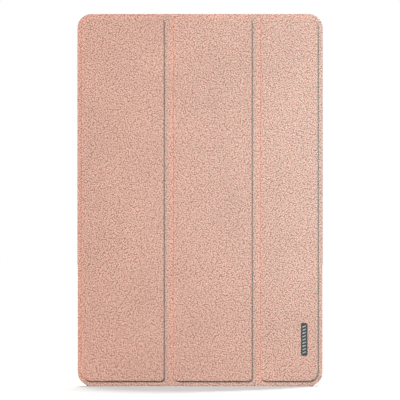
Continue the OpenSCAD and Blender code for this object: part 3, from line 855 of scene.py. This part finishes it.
@dataclass
class Cover:
    """The tri-fold cover: its leather with three raised panels, its lining, the soft strips at its two folds."""

    sizes: Sizes
    strip_half: float = 3.2 * MM  # half of a fold strip; the raised panels' feet are just outside it
    panel_edge: float = 0.6 * MM  # the round-over of a raised panel
    outer_edge: float = 0.3 * MM  # the turned edge of the leather
    fold_corner: float = 3.2 * MM  # the radius of a raised panel's corners beside a fold
    rim_width: float = 3.2 * MM  # how far the raised panels' outer corners lie inside the leather's
    pocket_gap: float = 0.05 * MM  # the play round a board in its pocket
    dip: float = 0.2 * MM  # how far a fold strip sinks
    columns: int = 16

    def build(self) -> None:
        """Build the leather and the lining, split them at the folds, and let each panel piece ride on its body."""
        self.split(self.leather(), "leather", "pu_leather", self.dip)
        self.split(self.lining(), "cloth", "microfibre", self.dip * 0.6)

    def raised(self, panel: int) -> tuple[tuple[float, float], tuple[float, float]]:
        """The outline of a raised panel: its x and z limits, from the board inside it."""
        low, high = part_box(f"panel_{panel}_board")
        grow = self.sizes.skin + 0.1 * MM
        return (low.x - grow, high.x + grow), (low.z - grow, high.z + grow)

    def leather(self) -> bpy.types.Object:
        """The whole front leather: a flat sheet with turned edges, three raised panels and the boards' pockets."""
        s = self.sizes
        sheet = plate("cover_leather", (s.x_left, s.x_right), (s.y_rim, s.y_board), (0, s.height), s.corner, s.corner)
        round_edges(sheet, self.outer_edge, 3, in_plane(1, s.y_rim))
        for panel in (1, 2, 3):
            x, z = self.raised(panel)
            outer = s.corner - self.rim_width
            radii = (outer if panel == 1 else self.fold_corner, outer if panel == 3 else self.fold_corner)
            rise = plate(f"rise_{panel}", x, (s.y_front, s.y_rim + 0.3 * MM), z, *radii, steps=10)
            round_edges(rise, self.panel_edge, 5, in_plane(1, s.y_front))
            combine(sheet, rise, Boolean.JOIN)
            low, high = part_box(f"panel_{panel}_board")
            radii = tuple(r - s.skin for r in radii)
            pocket = plate(
                f"pocket_{panel}",
                (low.x - self.pocket_gap, high.x + self.pocket_gap),
                (low.y - self.pocket_gap, s.y_board + MM),
                (low.z - self.pocket_gap, high.z + self.pocket_gap),
                *radii,
            )
            combine(sheet, pocket, Boolean.CUT)
        low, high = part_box("badge")
        gap = self.pocket_gap
        recess = plate(
            "badge_recess",
            (low.x - gap, high.x + gap),
            (s.y_front - MM, high.y + 0.01 * MM),
            (low.z - gap, high.z + gap),
            1.2 * MM,
            1.2 * MM,
            steps=6,
        )
        return combine(sheet, recess, Boolean.CUT)

    def lining(self) -> bpy.types.Object:
        """The whole microfibre lining, a little inside the leather's turned edge."""
        s = self.sizes
        inset = 0.35 * MM
        sheet = plate(
            "cover_lining",
            (s.x_left, s.x_right - inset),
            (s.y_board, s.y_lining),
            (inset, s.height - inset),
            s.corner - inset,
            s.corner - inset,
        )
        return round_edges(sheet, 0.2 * MM, 2, in_plane(1, s.y_lining))

    def split(self, whole: bpy.types.Object, what: str, slot: str, dip: float) -> None:
        """Cut a whole sheet into three panels and two fold strips.

        Args:
            whole: the sheet, which is used up.
            what: leather or cloth, for the pieces' names.
            slot: the record's material slot, and the finish.
            dip: how far a strip sinks between the panels.
        """
        s = self.sizes
        folds = [s.hinges["fold_1"].x, s.hinges["fold_2"].x]
        cuts = [s.seam_x]
        for x in folds:
            cuts += [x - self.strip_half, x + self.strip_half]
        cuts.append(None)
        names = ["panel_1", "fold_1", "panel_2", "fold_2", "panel_3"]
        strips: list[bpy.types.Object] = []
        panels: list[tuple[bpy.types.Object, str, float]] = []
        for i, name in enumerate(names):
            piece = copy_of(whole, f"{name}_{what}")
            slice_at(piece, (cuts[i], 0, 0), (1, 0, 0), drop_behind=True)
            if cuts[i + 1] is not None:
                slice_at(piece, (cuts[i + 1], 0, 0), (1, 0, 0), drop_ahead=True)
            if name.startswith("fold"):
                self.strip(piece, name, dip)
                dress(piece, PALETTE[slot])
                strips.append(piece)
                continue
            smooth(piece)
            dress(piece, PALETTE[slot])
            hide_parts(f"{name}_{'skin' if what == 'leather' else 'lining'}")
            place_on(piece, Body(name))
            panels.append((piece, name, (cuts[i + 1] or s.x_right) - cuts[i]))
        wrap = [bpy.data.objects[f"{place}_{what}"] for place in ("front_bend", "spine", "back_bend")]
        for piece, name, wide in panels:
            goes_with = {"panel_1": wrap, "panel_2": strips, "panel_3": []}[name]
        bpy.data.objects.remove(whole)

    def strip(self, piece: bpy.types.Object, fold: str, dip: float) -> None:
        """Shape a fold strip.

        Args:
            piece: the strip's mesh object.
            fold: the joint that it crosses, fold_1 or fold_2.
            dip: how far its middle sinks.
        """
        x = self.sizes.hinges[fold].x
        half = self.strip_half
        for i in range(1, self.columns):
            slice_at(piece, (x - half + 2 * half * i / self.columns, 0, 0), (1, 0, 0))
        for vertex in piece.data.vertices:
            across = (vertex.co.x - x) / half
            vertex.co.y += dip * max(0.0, 1 - across * across) ** 2
        smooth(piece)
        bodies = {"fold_1": (Body.PANEL_1, Body.PANEL_2), "fold_2": (Body.PANEL_2, Body.PANEL_3)}[fold]
        bodies[0].value
        bodies[1].value
        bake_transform(piece)
        log.info("%s bends between %s and %s", piece.name, bodies[0].value, bodies[1].value)


@dataclass
class Spine:
    """The spine: leather that wraps from the back round to the cover, its lining, and the bends at both edges."""

    sizes: Sizes
    steps: int = 8

    def build(self) -> None:
        """Build both layers as a channel, and cut each into the spine itself and its two bends."""
        s = self.sizes
        back, front = s.hinges["spine_fold"], s.hinges["cover_fold"]
        bend = back.x - s.x_left
        leather = self.channel(
            "spine_wrap", (s.x_left, s.y_rim, s.y_back), s.skin, (s.seam_x, s.seam_x), bend, 0.04 * MM
        )
        reach = bend + 0.1 * MM
        low, high = front.y + reach, back.y - reach
        self.cut_up(leather, "leather", "pu_leather", low, high)
        lining_low, lining_high = s.spine_lining
        thin = lining_high.x - lining_low.x
        lining = self.channel(
            "spine_inside",
            (lining_low.x, s.y_board, s.y_shell_out),
            thin,
            (s.seam_x, s.shell_left - 0.02 * MM),
            0.5 * MM,
            0.2 * MM,
            front_thick=s.y_lining - s.y_board,
        )
        self.cut_up(lining, "cloth", "microfibre", low, high)

    def channel(
        self,
        name: str,
        outside: tuple[float, float, float],
        thick: float,
        ends: tuple[float, float],
        outer_r: float,
        inner_r: float,
        front_thick: float | None = None,
    ) -> bpy.types.Object:
        """Add a channel that is open to the right, trimmed to the cover's round corners.

        Args:
            name: the new object's name.
            outside: its left side, its front face and its back face.
            thick: its thickness.
            ends: where its front and its back flange end, as x.
            outer_r: the outer radius of its bends.
            inner_r: the inner radius of its bends.
            front_thick: the front flange's thickness, if it differs.

        Returns:
            The channel.
        """
        s = self.sizes
        left, front, back = outside
        far = max(ends)
        shape = block(name, (left, front, 0), (far, back, s.height))
        round_edges(shape, outer_r, self.steps, along(2, in_plane(0, left)))
        hollow = block(
            "hollow",
            (left + thick, front + (front_thick or thick), -MM),
            (far + MM, back - thick, s.height + MM),
        )
        round_edges(hollow, inner_r, 4, along(2, in_plane(0, left + thick)))
        combine(shape, hollow, Boolean.CUT)
        outline = plate(
            "outline", (s.x_left, s.x_right), (front - MM, back + MM), (0, s.height), s.corner, s.corner
        )
        combine(shape, outline, Boolean.KEEP)
        for flange_end, place in zip(ends, ((front - MM, front + 2 * MM), (back - 2 * MM, back + MM))):
            if flange_end < far - 1e-6:
                trim = block("trim", (flange_end, place[0], -MM), (far + MM, place[1], s.height + MM))
                combine(shape, trim, Boolean.CUT)
        return shape

    def cut_up(self, whole: bpy.types.Object, what: str, slot: str, low: float, high: float) -> None:
        """Cut a channel into the front bend, the spine and the back bend.

        Args:
            whole: the channel, which is used up.
            what: leather or cloth, for the pieces' names.
            slot: the record's material slot, and the finish.
            low: where the spine's flat part starts, as y.
            high: where it ends.
        """
        s = self.sizes
        front_bend = copy_of(whole, f"front_bend_{what}")
        slice_at(front_bend, (0, low, 0), (0, 1, 0), drop_ahead=True)
        back_bend = copy_of(whole, f"back_bend_{what}")
        slice_at(back_bend, (0, high, 0), (0, 1, 0), drop_behind=True)
        flat = whole
        flat.name = flat.data.name = f"spine_{what}"
        slice_at(flat, (0, low, 0), (0, 1, 0), drop_behind=True)
        slice_at(flat, (0, high, 0), (0, 1, 0), drop_ahead=True)
        for piece in (front_bend, back_bend, flat):
            smooth(piece)
            dress(piece, PALETTE[slot])
        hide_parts("spine_skin" if what == "leather" else "spine_lining")
        place_on(flat, Body.SPINE)
        if what == "leather":
            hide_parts("front_bend")
            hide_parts("back_bend")
        inner = s.x_left + s.skin if what == "leather" else s.spine_lining[1].x
        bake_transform(front_bend)
        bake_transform(back_bend)


@dataclass
class Badge:
    """A plain black badge with a raised rim and a row of slanted pewter bars."""

    sizes: Sizes
    rim: float = 0.45 * MM
    bars: int = 9
    corner: float = 1.1 * MM
    slant: float = 24.0  # degrees
    half_bar: float = 1.3 * MM

    def build(self) -> None:
        """Build the black plate, its rim and the bars."""
        s = self.sizes
        low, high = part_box("badge")
        x, z = (low.x, high.x), (low.z, high.z)
        y_top = s.y_front
        body = plate("badge_enamel", x, (y_top + 0.08 * MM, high.y), z, self.corner, self.corner, steps=6)
        round_edges(body, 0.05 * MM, 2, in_plane(1, y_top + 0.08 * MM))
        smooth(body)
        dress(body, PALETTE["badge_gloss"])
        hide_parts("badge")
        place_on(body, Body.PANEL_3)
        rim = plate("badge_rim", x, (y_top, high.y), z, self.corner, self.corner, steps=6)
        inner = plate(
            "badge_inner",
            (x[0] + self.rim, x[1] - self.rim),
            (y_top - MM, high.y + MM),
            (z[0] + self.rim, z[1] - self.rim),
            0.8 * MM,
            0.8 * MM,
            steps=6,
        )
        combine(rim, inner, Boolean.CUT)
        round_edges(rim, 0.1 * MM, 3, in_plane(1, y_top))
        smooth(rim)
        dress(rim, PALETTE["badge_gloss"])
        place_on(rim, Body.PANEL_3)
        middle = (x[0] + x[1]) / 2
        span = (z[1] - z[0]) - 2.6 * MM
        for i in range(self.bars):
            up = z[0] + 1.3 * MM + span * (i + 0.5) / self.bars
            bar = block(
                f"badge_bar_{i + 1}",
                (middle - self.half_bar, y_top + 0.01 * MM, up - 0.4 * MM),
                (middle + self.half_bar, y_top + 0.2 * MM, up + 0.4 * MM),
            )
            choose(bar)
            bpy.ops.transform.rotate(
                value=math.radians(self.slant), orient_axis="Y", center_override=(middle, y_top, up)
            )
            settle(bar)
            round_edges(bar, 0.1 * MM, 2, lambda a, b: a.y < y_top + 0.05 * MM and b.y < y_top + 0.05 * MM)
            smooth(bar)
            dress(bar, PALETTE["pewter"])
            place_on(bar, Body.PANEL_3)


@dataclass
class Shell:
    """The case's moulded tray round the tablet, and the leather on its back."""

    sizes: Sizes
    back_round: float = 0.55 * MM
    lip: float = 20.0 * MM  # how far a corner's lip reaches along each side
    window_r: float = 5.0 * MM

    def build(self) -> None:
        """Build the tray and the back leather."""
        self.tray()
        self.back()

    def window(self) -> tuple[tuple[float, float], tuple[float, float]]:
        """The camera window's x and z limits, from the camera's ring and the flash."""
        ring_low, ring_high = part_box("camera_ring")
        flash_low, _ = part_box("flash_lens")
        edge = 1.5 * MM
        return (ring_low.x - edge, ring_high.x + edge), (flash_low.z - 2 * MM, ring_high.z + edge)

    def tray(self) -> None:
        """Build the tray: a rounded slab, hollowed for the tablet, with lips at its corners and slots in its walls."""
        s = self.sizes
        tab_low, tab_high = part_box("rear_housing")
        lip_front, wall_front = s.y_lip, s.y_glass + 0.25 * MM
        gap, radius = 0.2 * MM, 8.5 * MM
        tray = plate(
            "shell_tray",
            (s.shell_left, s.shell_right),
            (lip_front, s.y_shell_out),
            (0, s.height),
            s.corner,
            s.corner,
            16,
        )
        round_edges(tray, self.back_round, 4, in_plane(1, s.y_shell_out))
        round_edges(tray, 0.15 * MM, 2, in_plane(1, lip_front))
        cut_front = lip_front - MM
        tall = block(
            "tall",
            (s.shell_left + self.lip, cut_front, -MM),
            (s.shell_right - self.lip, wall_front, s.height + MM),
        )
        wide = block(
            "wide",
            (s.shell_left - MM, cut_front, self.lip),
            (s.shell_right + MM, wall_front, s.height - self.lip),
        )
        for cutter in (tall, wide):
            round_edges(cutter, 0.25 * MM, 2, along(1))
            combine(tray, cutter, Boolean.CUT)
        room = plate(
            "room",
            (tab_low.x - gap, tab_high.x + gap),
            (s.y_glass - 0.05 * MM, s.y_shell_out - 1.2 * MM),
            (tab_low.z - gap, tab_high.z + gap),
            radius,
            radius,
            16,
        )
        combine(tray, room, Boolean.CUT)
        over = 0.8 * MM
        mouth = plate(
            "mouth",
            (tab_low.x + over, tab_high.x - over),
            (lip_front - MM, s.y_glass + MM),
            (tab_low.z + over, tab_high.z - over),
            7.5 * MM,
            7.5 * MM,
            16,
        )
        combine(tray, mouth, Boolean.CUT)
        x, z = self.window()
        combine(
            tray,
            plate("window", x, (tab_high.y - MM, s.y_shell_out + MM), z, self.window_r, self.window_r, 10),
            Boolean.CUT,
        )
        self.slots(tray, tab_low, tab_high)
        smooth(tray)
        dress(tray, PALETTE["case_polycarbonate"])
        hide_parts("rear_shell")
        place_on(tray, Body.TABLET)

    def slots(self, tray: bpy.types.Object, tab_low: Vector, tab_high: Vector) -> None:
        """Cut the slots for the keys, the tray, the port and the loudspeakers into the walls.

        Args:
            tray: the shell, which is changed.
            tab_low: the tablet's lowest corner.
            tab_high: the tablet's highest corner.
        """
        s = self.sizes
        front, back = s.y_lip - MM, tab_high.y - 0.9 * MM
        above, below = (tab_high.z - 0.5 * MM, s.height + MM), (-MM, tab_low.z + 0.5 * MM)
        spans = []
        for node, edge, z in (
            ("power_key", 2.1 * MM, above),
            ("speaker_top_left", 0, above),
            ("speaker_top_right", 0, above),
            ("card_tray", 3 * MM, above),
            ("usb_receptacle", 3.55 * MM, below),
            ("speaker_bottom_left", 0, below),
            ("speaker_bottom_right", 0, below),
        ):
            low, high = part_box(node)
            spans.append(((low.x - edge, high.x + edge), z))
        for i, (x, z) in enumerate(spans):
            cutter = block(f"slot_{i}", (x[0], front, z[0]), (x[1], back, z[1]))
            round_edges(cutter, 1.2 * MM, 5, along(2, in_plane(1, back)))
            combine(tray, cutter, Boolean.CUT)
        low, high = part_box("volume_rocker")
        cutter = block(
            "slot_side",
            (tab_high.x - 0.5 * MM, front, low.z - 3.1 * MM),
            (s.shell_right + MM, back, high.z + 3.1 * MM),
        )
        round_edges(cutter, 1.2 * MM, 5, along(0, in_plane(1, back)))
        combine(tray, cutter, Boolean.CUT)

    def back(self) -> None:
        """Build the back leather, with its window for the camera."""
        s = self.sizes
        inset = 0.4 * MM
        sheet = plate(
            "back_leather",
            (s.x_left, s.shell_right - inset),
            (s.y_shell_out, s.y_back),
            (inset, s.height - inset),
            s.corner - inset,
            s.corner - inset,
            16,
        )
        round_edges(sheet, 0.35 * MM, 3, in_plane(1, s.y_back))
        x, z = self.window()
        grow = 0.3 * MM
        combine(
            sheet,
            plate(
                "back_window",
                (x[0] - grow, x[1] + grow),
                (s.y_shell_out - MM, s.y_back + MM),
                (z[0] - grow, z[1] + grow),
                self.window_r,
                self.window_r,
                10,
            ),
            Boolean.CUT,
        )
        round_edges(
            sheet,
            0.25 * MM,
            3,
            lambda a, b: abs(a.y - s.y_back) < 2e-5
            and abs(b.y - s.y_back) < 2e-5
            and all(x[0] - MM < p.x < x[1] + MM and z[0] - MM < p.z < z[1] + MM for p in (a, b)),
        )
        slice_at(sheet, (s.seam_x, 0, 0), (1, 0, 0), drop_behind=True)
        smooth(sheet)
        dress(sheet, PALETTE["pu_leather"])
        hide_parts("back_skin")
        place_on(sheet, Body.TABLET)


@dataclass
class Tablet:
    """What shows of the tablet: its housing, glass, camera, keys, tray, port and loudspeaker gauze."""

    sizes: Sizes

    def build(self) -> None:
        """Build and dress each visible piece."""
        self.housing()
        self.glass()
        self.rear_camera()
        self.keys_and_tray()
        self.port()

    def housing(self) -> None:
        """The machined housing with its edges broken."""
        piece = softened_copy("rear_housing", "housing_shell", 0.12 * MM, 2)
        dress(piece, PALETTE["anodised_aluminium"])
        place_on(piece, Body.TABLET)
        gauze = softened_copy("speaker_meshes", "speaker_gauze", 0.04 * MM, 1)
        dress(gauze, PALETTE["speaker_gauze"])
        place_on(gauze, Body.TABLET)

    def glass(self) -> None:
        """The front glass with its softly rounded edge, and the front camera's window in its border."""
        low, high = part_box("cover_glass")
        glass = plate("front_glass", (low.x, high.x), (low.y, high.y), (low.z, high.z), 7.25 * MM, 7.25 * MM, 16)
        round_edges(glass, 0.28 * MM, 4, in_plane(1, low.y))
        smooth(glass)
        dress(glass, PALETTE["inked_glass"])
        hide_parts("cover_glass")
        place_on(glass, Body.TABLET)
        cam_low, cam_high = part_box("front_camera_module")
        middle = (cam_low + cam_high) / 2
        behind = low.y + 0.2 * MM
        for name, radius, out, bevel, segments, finish, slot in (
            ("front_camera_window", 1.3 * MM, 0.015 * MM, 0.01 * MM, 1, "lens_surround", "black_polymer"),
            ("front_camera_lens", 0.7 * MM, 0.03 * MM, 0.012 * MM, 2, "coated_lens", "lens_glass"),
        ):
            face = low.y - out
            disc = round_bar(name, (middle.x, face, middle.z), (middle.x, behind, middle.z), radius, 40)
            round_edges(disc, bevel, segments, in_plane(1, face))
            smooth(disc)
            dress(disc, PALETTE[finish])
            place_on(disc, Body.TABLET)

    def rear_camera(self) -> None:
        """The rear camera: its ring, stepped bezel, lens and cover glass, and the flash beside it."""
        ring = softened_copy("camera_ring", "camera_trim", 0.12 * MM, 3)
        dress(ring, PALETTE["turned_aluminium"])
        place_on(ring, Body.TABLET)
        low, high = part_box("camera_glass")
        middle = (low + high) / 2
        face = high.y
        radius = (high.x - low.x) / 2
        glass = round_bar("camera_cover_glass", (middle.x, low.y, middle.z), (middle.x, face, middle.z), radius, 64)
        round_edges(glass, 0.08 * MM, 2, in_plane(1, face))
        smooth(glass)
        dress(glass, PALETTE["coated_lens"])
        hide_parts("camera_glass")
        place_on(glass, Body.TABLET)
        for name, radius, out, finish in (
            ("camera_lens_surround", 3.3 * MM, 0.012 * MM, "lens_surround"),
            ("camera_lens_eye", 2.1 * MM, 0.03 * MM, "lens_eye"),
        ):
            disc = round_bar(name, (middle.x, face - 0.1 * MM, middle.z), (middle.x, face + out, middle.z), radius, 48)
            round_edges(disc, 0.01 * MM, 1, in_plane(1, face + out))
            smooth(disc)
            dress(disc, PALETTE[finish])
            place_on(disc, Body.TABLET)
        flash = softened_copy("flash_lens", "flash_window", 0.08 * MM, 2)
        dress(flash, PALETTE["flash_diffuser"])
        place_on(flash, Body.TABLET)

    def keys_and_tray(self) -> None:
        """The power key, the volume rocker, and the card tray with its release hole."""
        for node, name, body in (
            ("power_key", "power_key_cap", Body.POWER),
            ("volume_rocker", "volume_rocker_cap", Body.VOLUME),
        ):
            cap = softened_copy(node, name, 0.14 * MM, 3)
            dress(cap, PALETTE["turned_aluminium"])
            place_on(cap, body)
        tray = softened_copy("card_tray", "card_tray_frame", 0.06 * MM, 2)
        low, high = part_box("card_tray")
        x, y = high.x - 2.2 * MM, (low.y + high.y) / 2
        pin = round_bar("pin", (x, y, high.z - 1.4 * MM), (x, y, high.z + MM), 0.45 * MM, 24)
        combine(tray, pin, Boolean.CUT)
        smooth(tray)
        dress(tray, PALETTE["anodised_aluminium"])
        place_on(tray, Body.TRAY)

    def port(self) -> None:
        """The port's shell and tongue, with contacts on both sides of the tongue."""
        shell = softened_copy("usb_receptacle", "port_shell", 0.05 * MM, 2)
        dress(shell, PALETTE["stamped_steel"])
        place_on(shell, Body.TABLET)
        low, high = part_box("usb_receptacle")
        middle = (low + high) / 2
        half_tongue, mouth = 0.37 * MM, low.z + 0.78 * MM
        pitch, pad_out = 0.5 * MM, 0.02 * MM
        tongue = block(
            "port_tongue",
            (middle.x - 3.34 * MM, middle.y - half_tongue, mouth),
            (middle.x + 3.34 * MM, middle.y + half_tongue, low.z + 6.1 * MM),
        )
        round_edges(tongue, 0.12 * MM, 2, in_plane(2, mouth))
        smooth(tongue)
        dress(tongue, PALETTE["black_polymer"])
        place_on(tongue, Body.TABLET)
        first = block(
            "pad",
            (middle.x - 0.14 * MM, middle.y + half_tongue, low.z + 1.2 * MM),
            (middle.x + 0.14 * MM, middle.y + half_tongue + pad_out, low.z + 4.2 * MM),
        )
        round_edges(first, 0.08 * MM, 3, along(1))
        pads = []
        for shift in (0.0, -2 * half_tongue - pad_out):  # the far side, then the near side, of the tongue
            for i in range(12):
                pad = copy_of(first, "pad")
                pad.data.transform(Matrix.Translation(((i - 5.5) * pitch, shift, 0)))
                pads.append(pad)
        bpy.data.objects.remove(first)
        choose(*pads)
        bpy.ops.object.join()
        contacts = bpy.context.object
        contacts.name = contacts.data.name = "port_contacts"
        dress(contacts, PALETTE["gold_plate"])
        place_on(contacts, Body.TABLET)


@dataclass
class Inside:
    """The CAD nodes that keep their shape: everything inside the tablet and the cover."""

    renamed: dict[str, str] = field(  # the slots whose finish has another name; the others' has the slot's own
        default_factory=lambda: {
            "neodymium": "nickel_plate",
            "cover_glass": "inked_glass",
            "lens_glass": "coated_lens",
        }
    )

    def build(self) -> None:
        """Give every CAD node the finish of its slot."""
        for part in RECORD["subparts"]:
            node, slot = part["node"], part["material_slot"]
            mesh = NODES[node].data
            material = PALETTE[self.renamed.get(slot, slot)]
            if not mesh.materials:
                mesh.materials.append(material)
            for i in range(len(mesh.materials)):
                mesh.materials[i] = material
            log.info("%s has %s", node, material.name)


def fill_palette() -> None:
    """Make every finish."""
    low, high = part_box("lcd_panel")
    edge = 1.8 * MM
    picture = (low.x + edge, high.x - edge, low.z + edge, high.z - edge)
    finishes: dict[str, Finish] = {
        "pu_leather": PebbledLeather(
            "embossed_pu_leather", "#D69582", roughness=0.58, ior=1.48, sheen=0.35, specular=0.8
        ),
        "microfibre": NappedCloth("brushed_microfibre", "#BC9D91", roughness=0.95, sheen=0.25),
        "case_polycarbonate": MouldedPlastic("moulded_polycarbonate", "#CF9F8F", roughness=0.46, ior=1.58),
        "fibreboard": FibreBoard("pressed_fibreboard", "#6B5D50", roughness=0.9),
        "anodised_aluminium": BlastedMetal("blasted_anodised_aluminium", "#B9BABF", roughness=0.36, metallic=1.0),
        "turned_aluminium": BlastedMetal(
            "polished_anodised_aluminium", "#C6C7CB", roughness=0.2, metallic=1.0, relief_mm=0.004
        ),
        "frame_aluminium": RolledMetal("machined_aluminium", "#A0A2A6", roughness=0.4, metallic=1.0),
        "stamped_steel": RolledMetal("stamped_steel", "#9FA1A6", roughness=0.33, metallic=1.0),
        "nickel_plate": BlastedMetal("nickel_plated_magnet", "#B4B2AE", roughness=0.25, metallic=1.0),
        "pewter": BlastedMetal("antiqued_zinc_alloy", "#8D9491", roughness=0.42, metallic=1.0, relief_mm=0.006),
        "gold_plate": BlastedMetal("gold_plated_contact", "#D9B45A", roughness=0.25, metallic=1.0),
        "inked_glass": InkedGlass("toughened_glass", "#030304", roughness=0.04, ior=1.52, picture=picture),
        "display_glass": InkedGlass("display_stack", "#050507", roughness=0.1, ior=1.52, picture=picture),
        "diffuser_film": MouldedPlastic("diffuser_film", "#DDE0E4", roughness=0.35),
        "adhesive_foam": MouldedPlastic("foam_tape", "#111112", roughness=0.95, relief_mm=0.06),
        "pouch_foil": RolledMetal("laminated_pouch_foil", "#55565B", roughness=0.42, metallic=0.8),
        "circuit_board": PrintedBoard("circuit_board", "#123F2B", roughness=0.4),
        "flex_polyimide": MouldedPlastic("polyimide_ribbon", "#8A4E1C", roughness=0.35),
        "copper_foil": RolledMetal("copper_foil", "#B8744A", roughness=0.35, metallic=1.0),
        "black_polymer": MouldedPlastic("moulded_nylon", "#0E0E10", roughness=0.5),
        "lens_surround": MouldedPlastic("black_lens_surround", "#060607", roughness=0.3, relief_mm=0.005),
        "coated_lens": CoatedLens("coated_lens_glass", "#050509", roughness=0.03, ior=1.6),
        "lens_eye": CoatedLens("deep_lens_glass", "#0A0A16", roughness=0.02, ior=1.7, glint="#3A2A6A"),
        "flash_diffuser": MouldedPlastic("frosted_flash_lens", "#EDE6CF", roughness=0.3, relief_mm=0.05),
        "seal_silicone": MouldedPlastic("silicone_rubber", "#0C0C0C", roughness=0.8),
        "badge_gloss": MouldedPlastic("black_enamel", "#070708", roughness=0.12, relief_mm=0.002, coat=0.6),
        "speaker_gauze": WovenMesh("woven_steel_gauze", "#6A6B6F", roughness=0.35, metallic=0.9),
    }
    for name, finish in finishes.items():
        PALETTE[name] = finish.make()


# ---------------------------------------------------------------- stage


@dataclass
class Studio:
    """A pale matt floor, a soft white surround, a key light from the upper left, and a long-lens camera."""

    sizes: Sizes
    frame_height: float = 278.7 * MM  # the height that the view takes in at the cover
    distance: float = 3.2
    sensor_mm: float = 36.0
    key_from: tuple[float, float, float] = (-1.0, -1.0, 1.2)

    def build(self) -> None:
        """Build the floor, the lights, the surround and the camera."""
        self.floor()
        self.lights()
        self.surround()
        self.camera()

    def floor(self) -> None:
        """A wide pale floor without gloss."""
        bpy.ops.object.select_all(action="DESELECT")
        bpy.ops.mesh.primitive_plane_add(size=12, location=(0, 0, 0))
        floor = bpy.context.object
        floor.name = floor.data.name = "studio_floor"
        material = bpy.data.materials.new("painted_floor")
        material.use_nodes = True
        shader = material.node_tree.nodes["Principled BSDF"]
        shader.inputs["Base Color"].default_value = linear("#BEBEBE")
        shader.inputs["Roughness"].default_value = 0.9
        shader.inputs["Specular IOR Level"].default_value = 0.0
        floor.data.materials.append(material)
        floor.visible_diffuse = False  # the floor throws no coloured light back up on to the cover

    def lights(self) -> None:
        """A key light from the upper left, a cool soft light from the right, one from behind, and one for the floor."""
        self.sun("key", self.key_from, 4.5, 7, (1.0, 0.985, 0.965))
        self.sun("back", (0.7, 1.0, 0.75), 3.6, 15, (1.0, 0.985, 0.965))
        over = self.sun("floor_light", (0, 0.454, 0.891), 5.0, 32, (1.0, 1.0, 1.0))
        fill = self.softbox("cool_fill", (0.29, -0.32, 0.19), (0.05, 0, 0.14), 0.12, 1.45, (0.33, 0.84, 1.0))
        for lamp, state in ((over, "INCLUDE"), (fill, "EXCLUDE")):
            lit = bpy.data.collections.new(f"{lamp.name}_reach")
            lit.objects.link(bpy.data.objects["studio_floor"])
            lit.collection_objects[0].light_linking.link_state = state
            lamp.light_linking.receiver_collection = lit

    def sun(
        self, name: str, toward: Sequence[float], power: float, angle: float, colour: Sequence[float]
    ) -> bpy.types.Object:
        """Add a far light.

        Args:
            name: its name.
            toward: the direction in which it stands.
            power: its power in watts per square metre.
            angle: how wide it looks, in degrees.
            colour: its linear colour.

        Returns:
            The light's object.
        """
        light = bpy.data.lights.new(name, "SUN")
        light.energy = power
        light.angle = math.radians(angle)
        light.color = colour
        lamp = bpy.data.objects.new(name, light)
        bpy.context.scene.collection.objects.link(lamp)
        lamp.rotation_euler = Vector(toward).to_track_quat("Z", "Y").to_euler()
        return lamp

    def softbox(
        self,
        name: str,
        place: Sequence[float],
        aim: Sequence[float],
        size: float,
        power: float,
        colour: Sequence[float],
    ) -> bpy.types.Object:
        """Add a round soft light.

        Args:
            name: its name.
            place: where it stands.
            aim: the point that it faces.
            size: its diameter.
            power: its power in watts.
            colour: its linear colour.

        Returns:
            The light's object.
        """
        soft = bpy.data.lights.new(name, "AREA")
        soft.energy = power
        soft.shape = "DISK"
        soft.size = size
        soft.color = colour
        lamp = bpy.data.objects.new(name, soft)
        bpy.context.scene.collection.objects.link(lamp)
        lamp.location = place
        lamp.rotation_euler = (Vector(place) - Vector(aim)).to_track_quat("Z", "Y").to_euler()
        return lamp

    def surround(self) -> None:
        """A white surround: full strength to the eye and in reflections, weaker as fill light."""
        world = bpy.data.worlds.new("surround")
        bpy.context.scene.world = world
        world.use_nodes = True
        tree = world.node_tree
        rays = add(tree, "ShaderNodeLightPath")
        seen = add(
            tree,
            "ShaderNodeMath",
            {0: rays.outputs["Is Camera Ray"], 1: rays.outputs["Is Glossy Ray"]},
            operation="MAXIMUM",
        )
        level = add(tree, "ShaderNodeMapRange", {"Value": seen.outputs["Value"], "To Min": 0.11, "To Max": 1.0})
        back = tree.nodes["Background"]
        back.inputs["Color"].default_value = (1.0, 1.0, 1.0, 1.0)
        tree.links.new(level.outputs["Result"], back.inputs["Strength"])

    def camera(self) -> None:
        """A long lens straight in front, level with the middle of the cover."""
        s = self.sizes
        lens = bpy.data.cameras.new("camera")
        eye = bpy.data.objects.new("camera", lens)
        bpy.context.scene.collection.objects.link(eye)
        eye.location = (0, s.y_front - self.distance, s.height / 2)
        eye.rotation_euler = (math.radians(90), 0, 0)
        lens.sensor_width = self.sensor_mm
        lens.lens = self.sensor_mm * self.distance / self.frame_height
        lens.clip_end = 50
        bpy.context.scene.camera = eye
        bpy.context.scene.view_settings.view_transform = "Standard"


def main() -> None:
    """Load the frame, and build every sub-assembly in order."""
    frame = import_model()
    NODES.update(frame["nodes"])
    JOINTS.extend(frame["joints"])
    RECORD.update(frame["record"])
    sizes = Sizes()
    fill_palette()
    Inside().build()
    for part in (Spine(sizes), Cover(sizes), Badge(sizes), Shell(sizes), Tablet(sizes), Studio(sizes)):
        log.info("building %s", type(part).__name__)
        part.build()


if __name__ == "__main__":
    logging.basicConfig(level=logging.INFO, format="%(message)s")
    main()
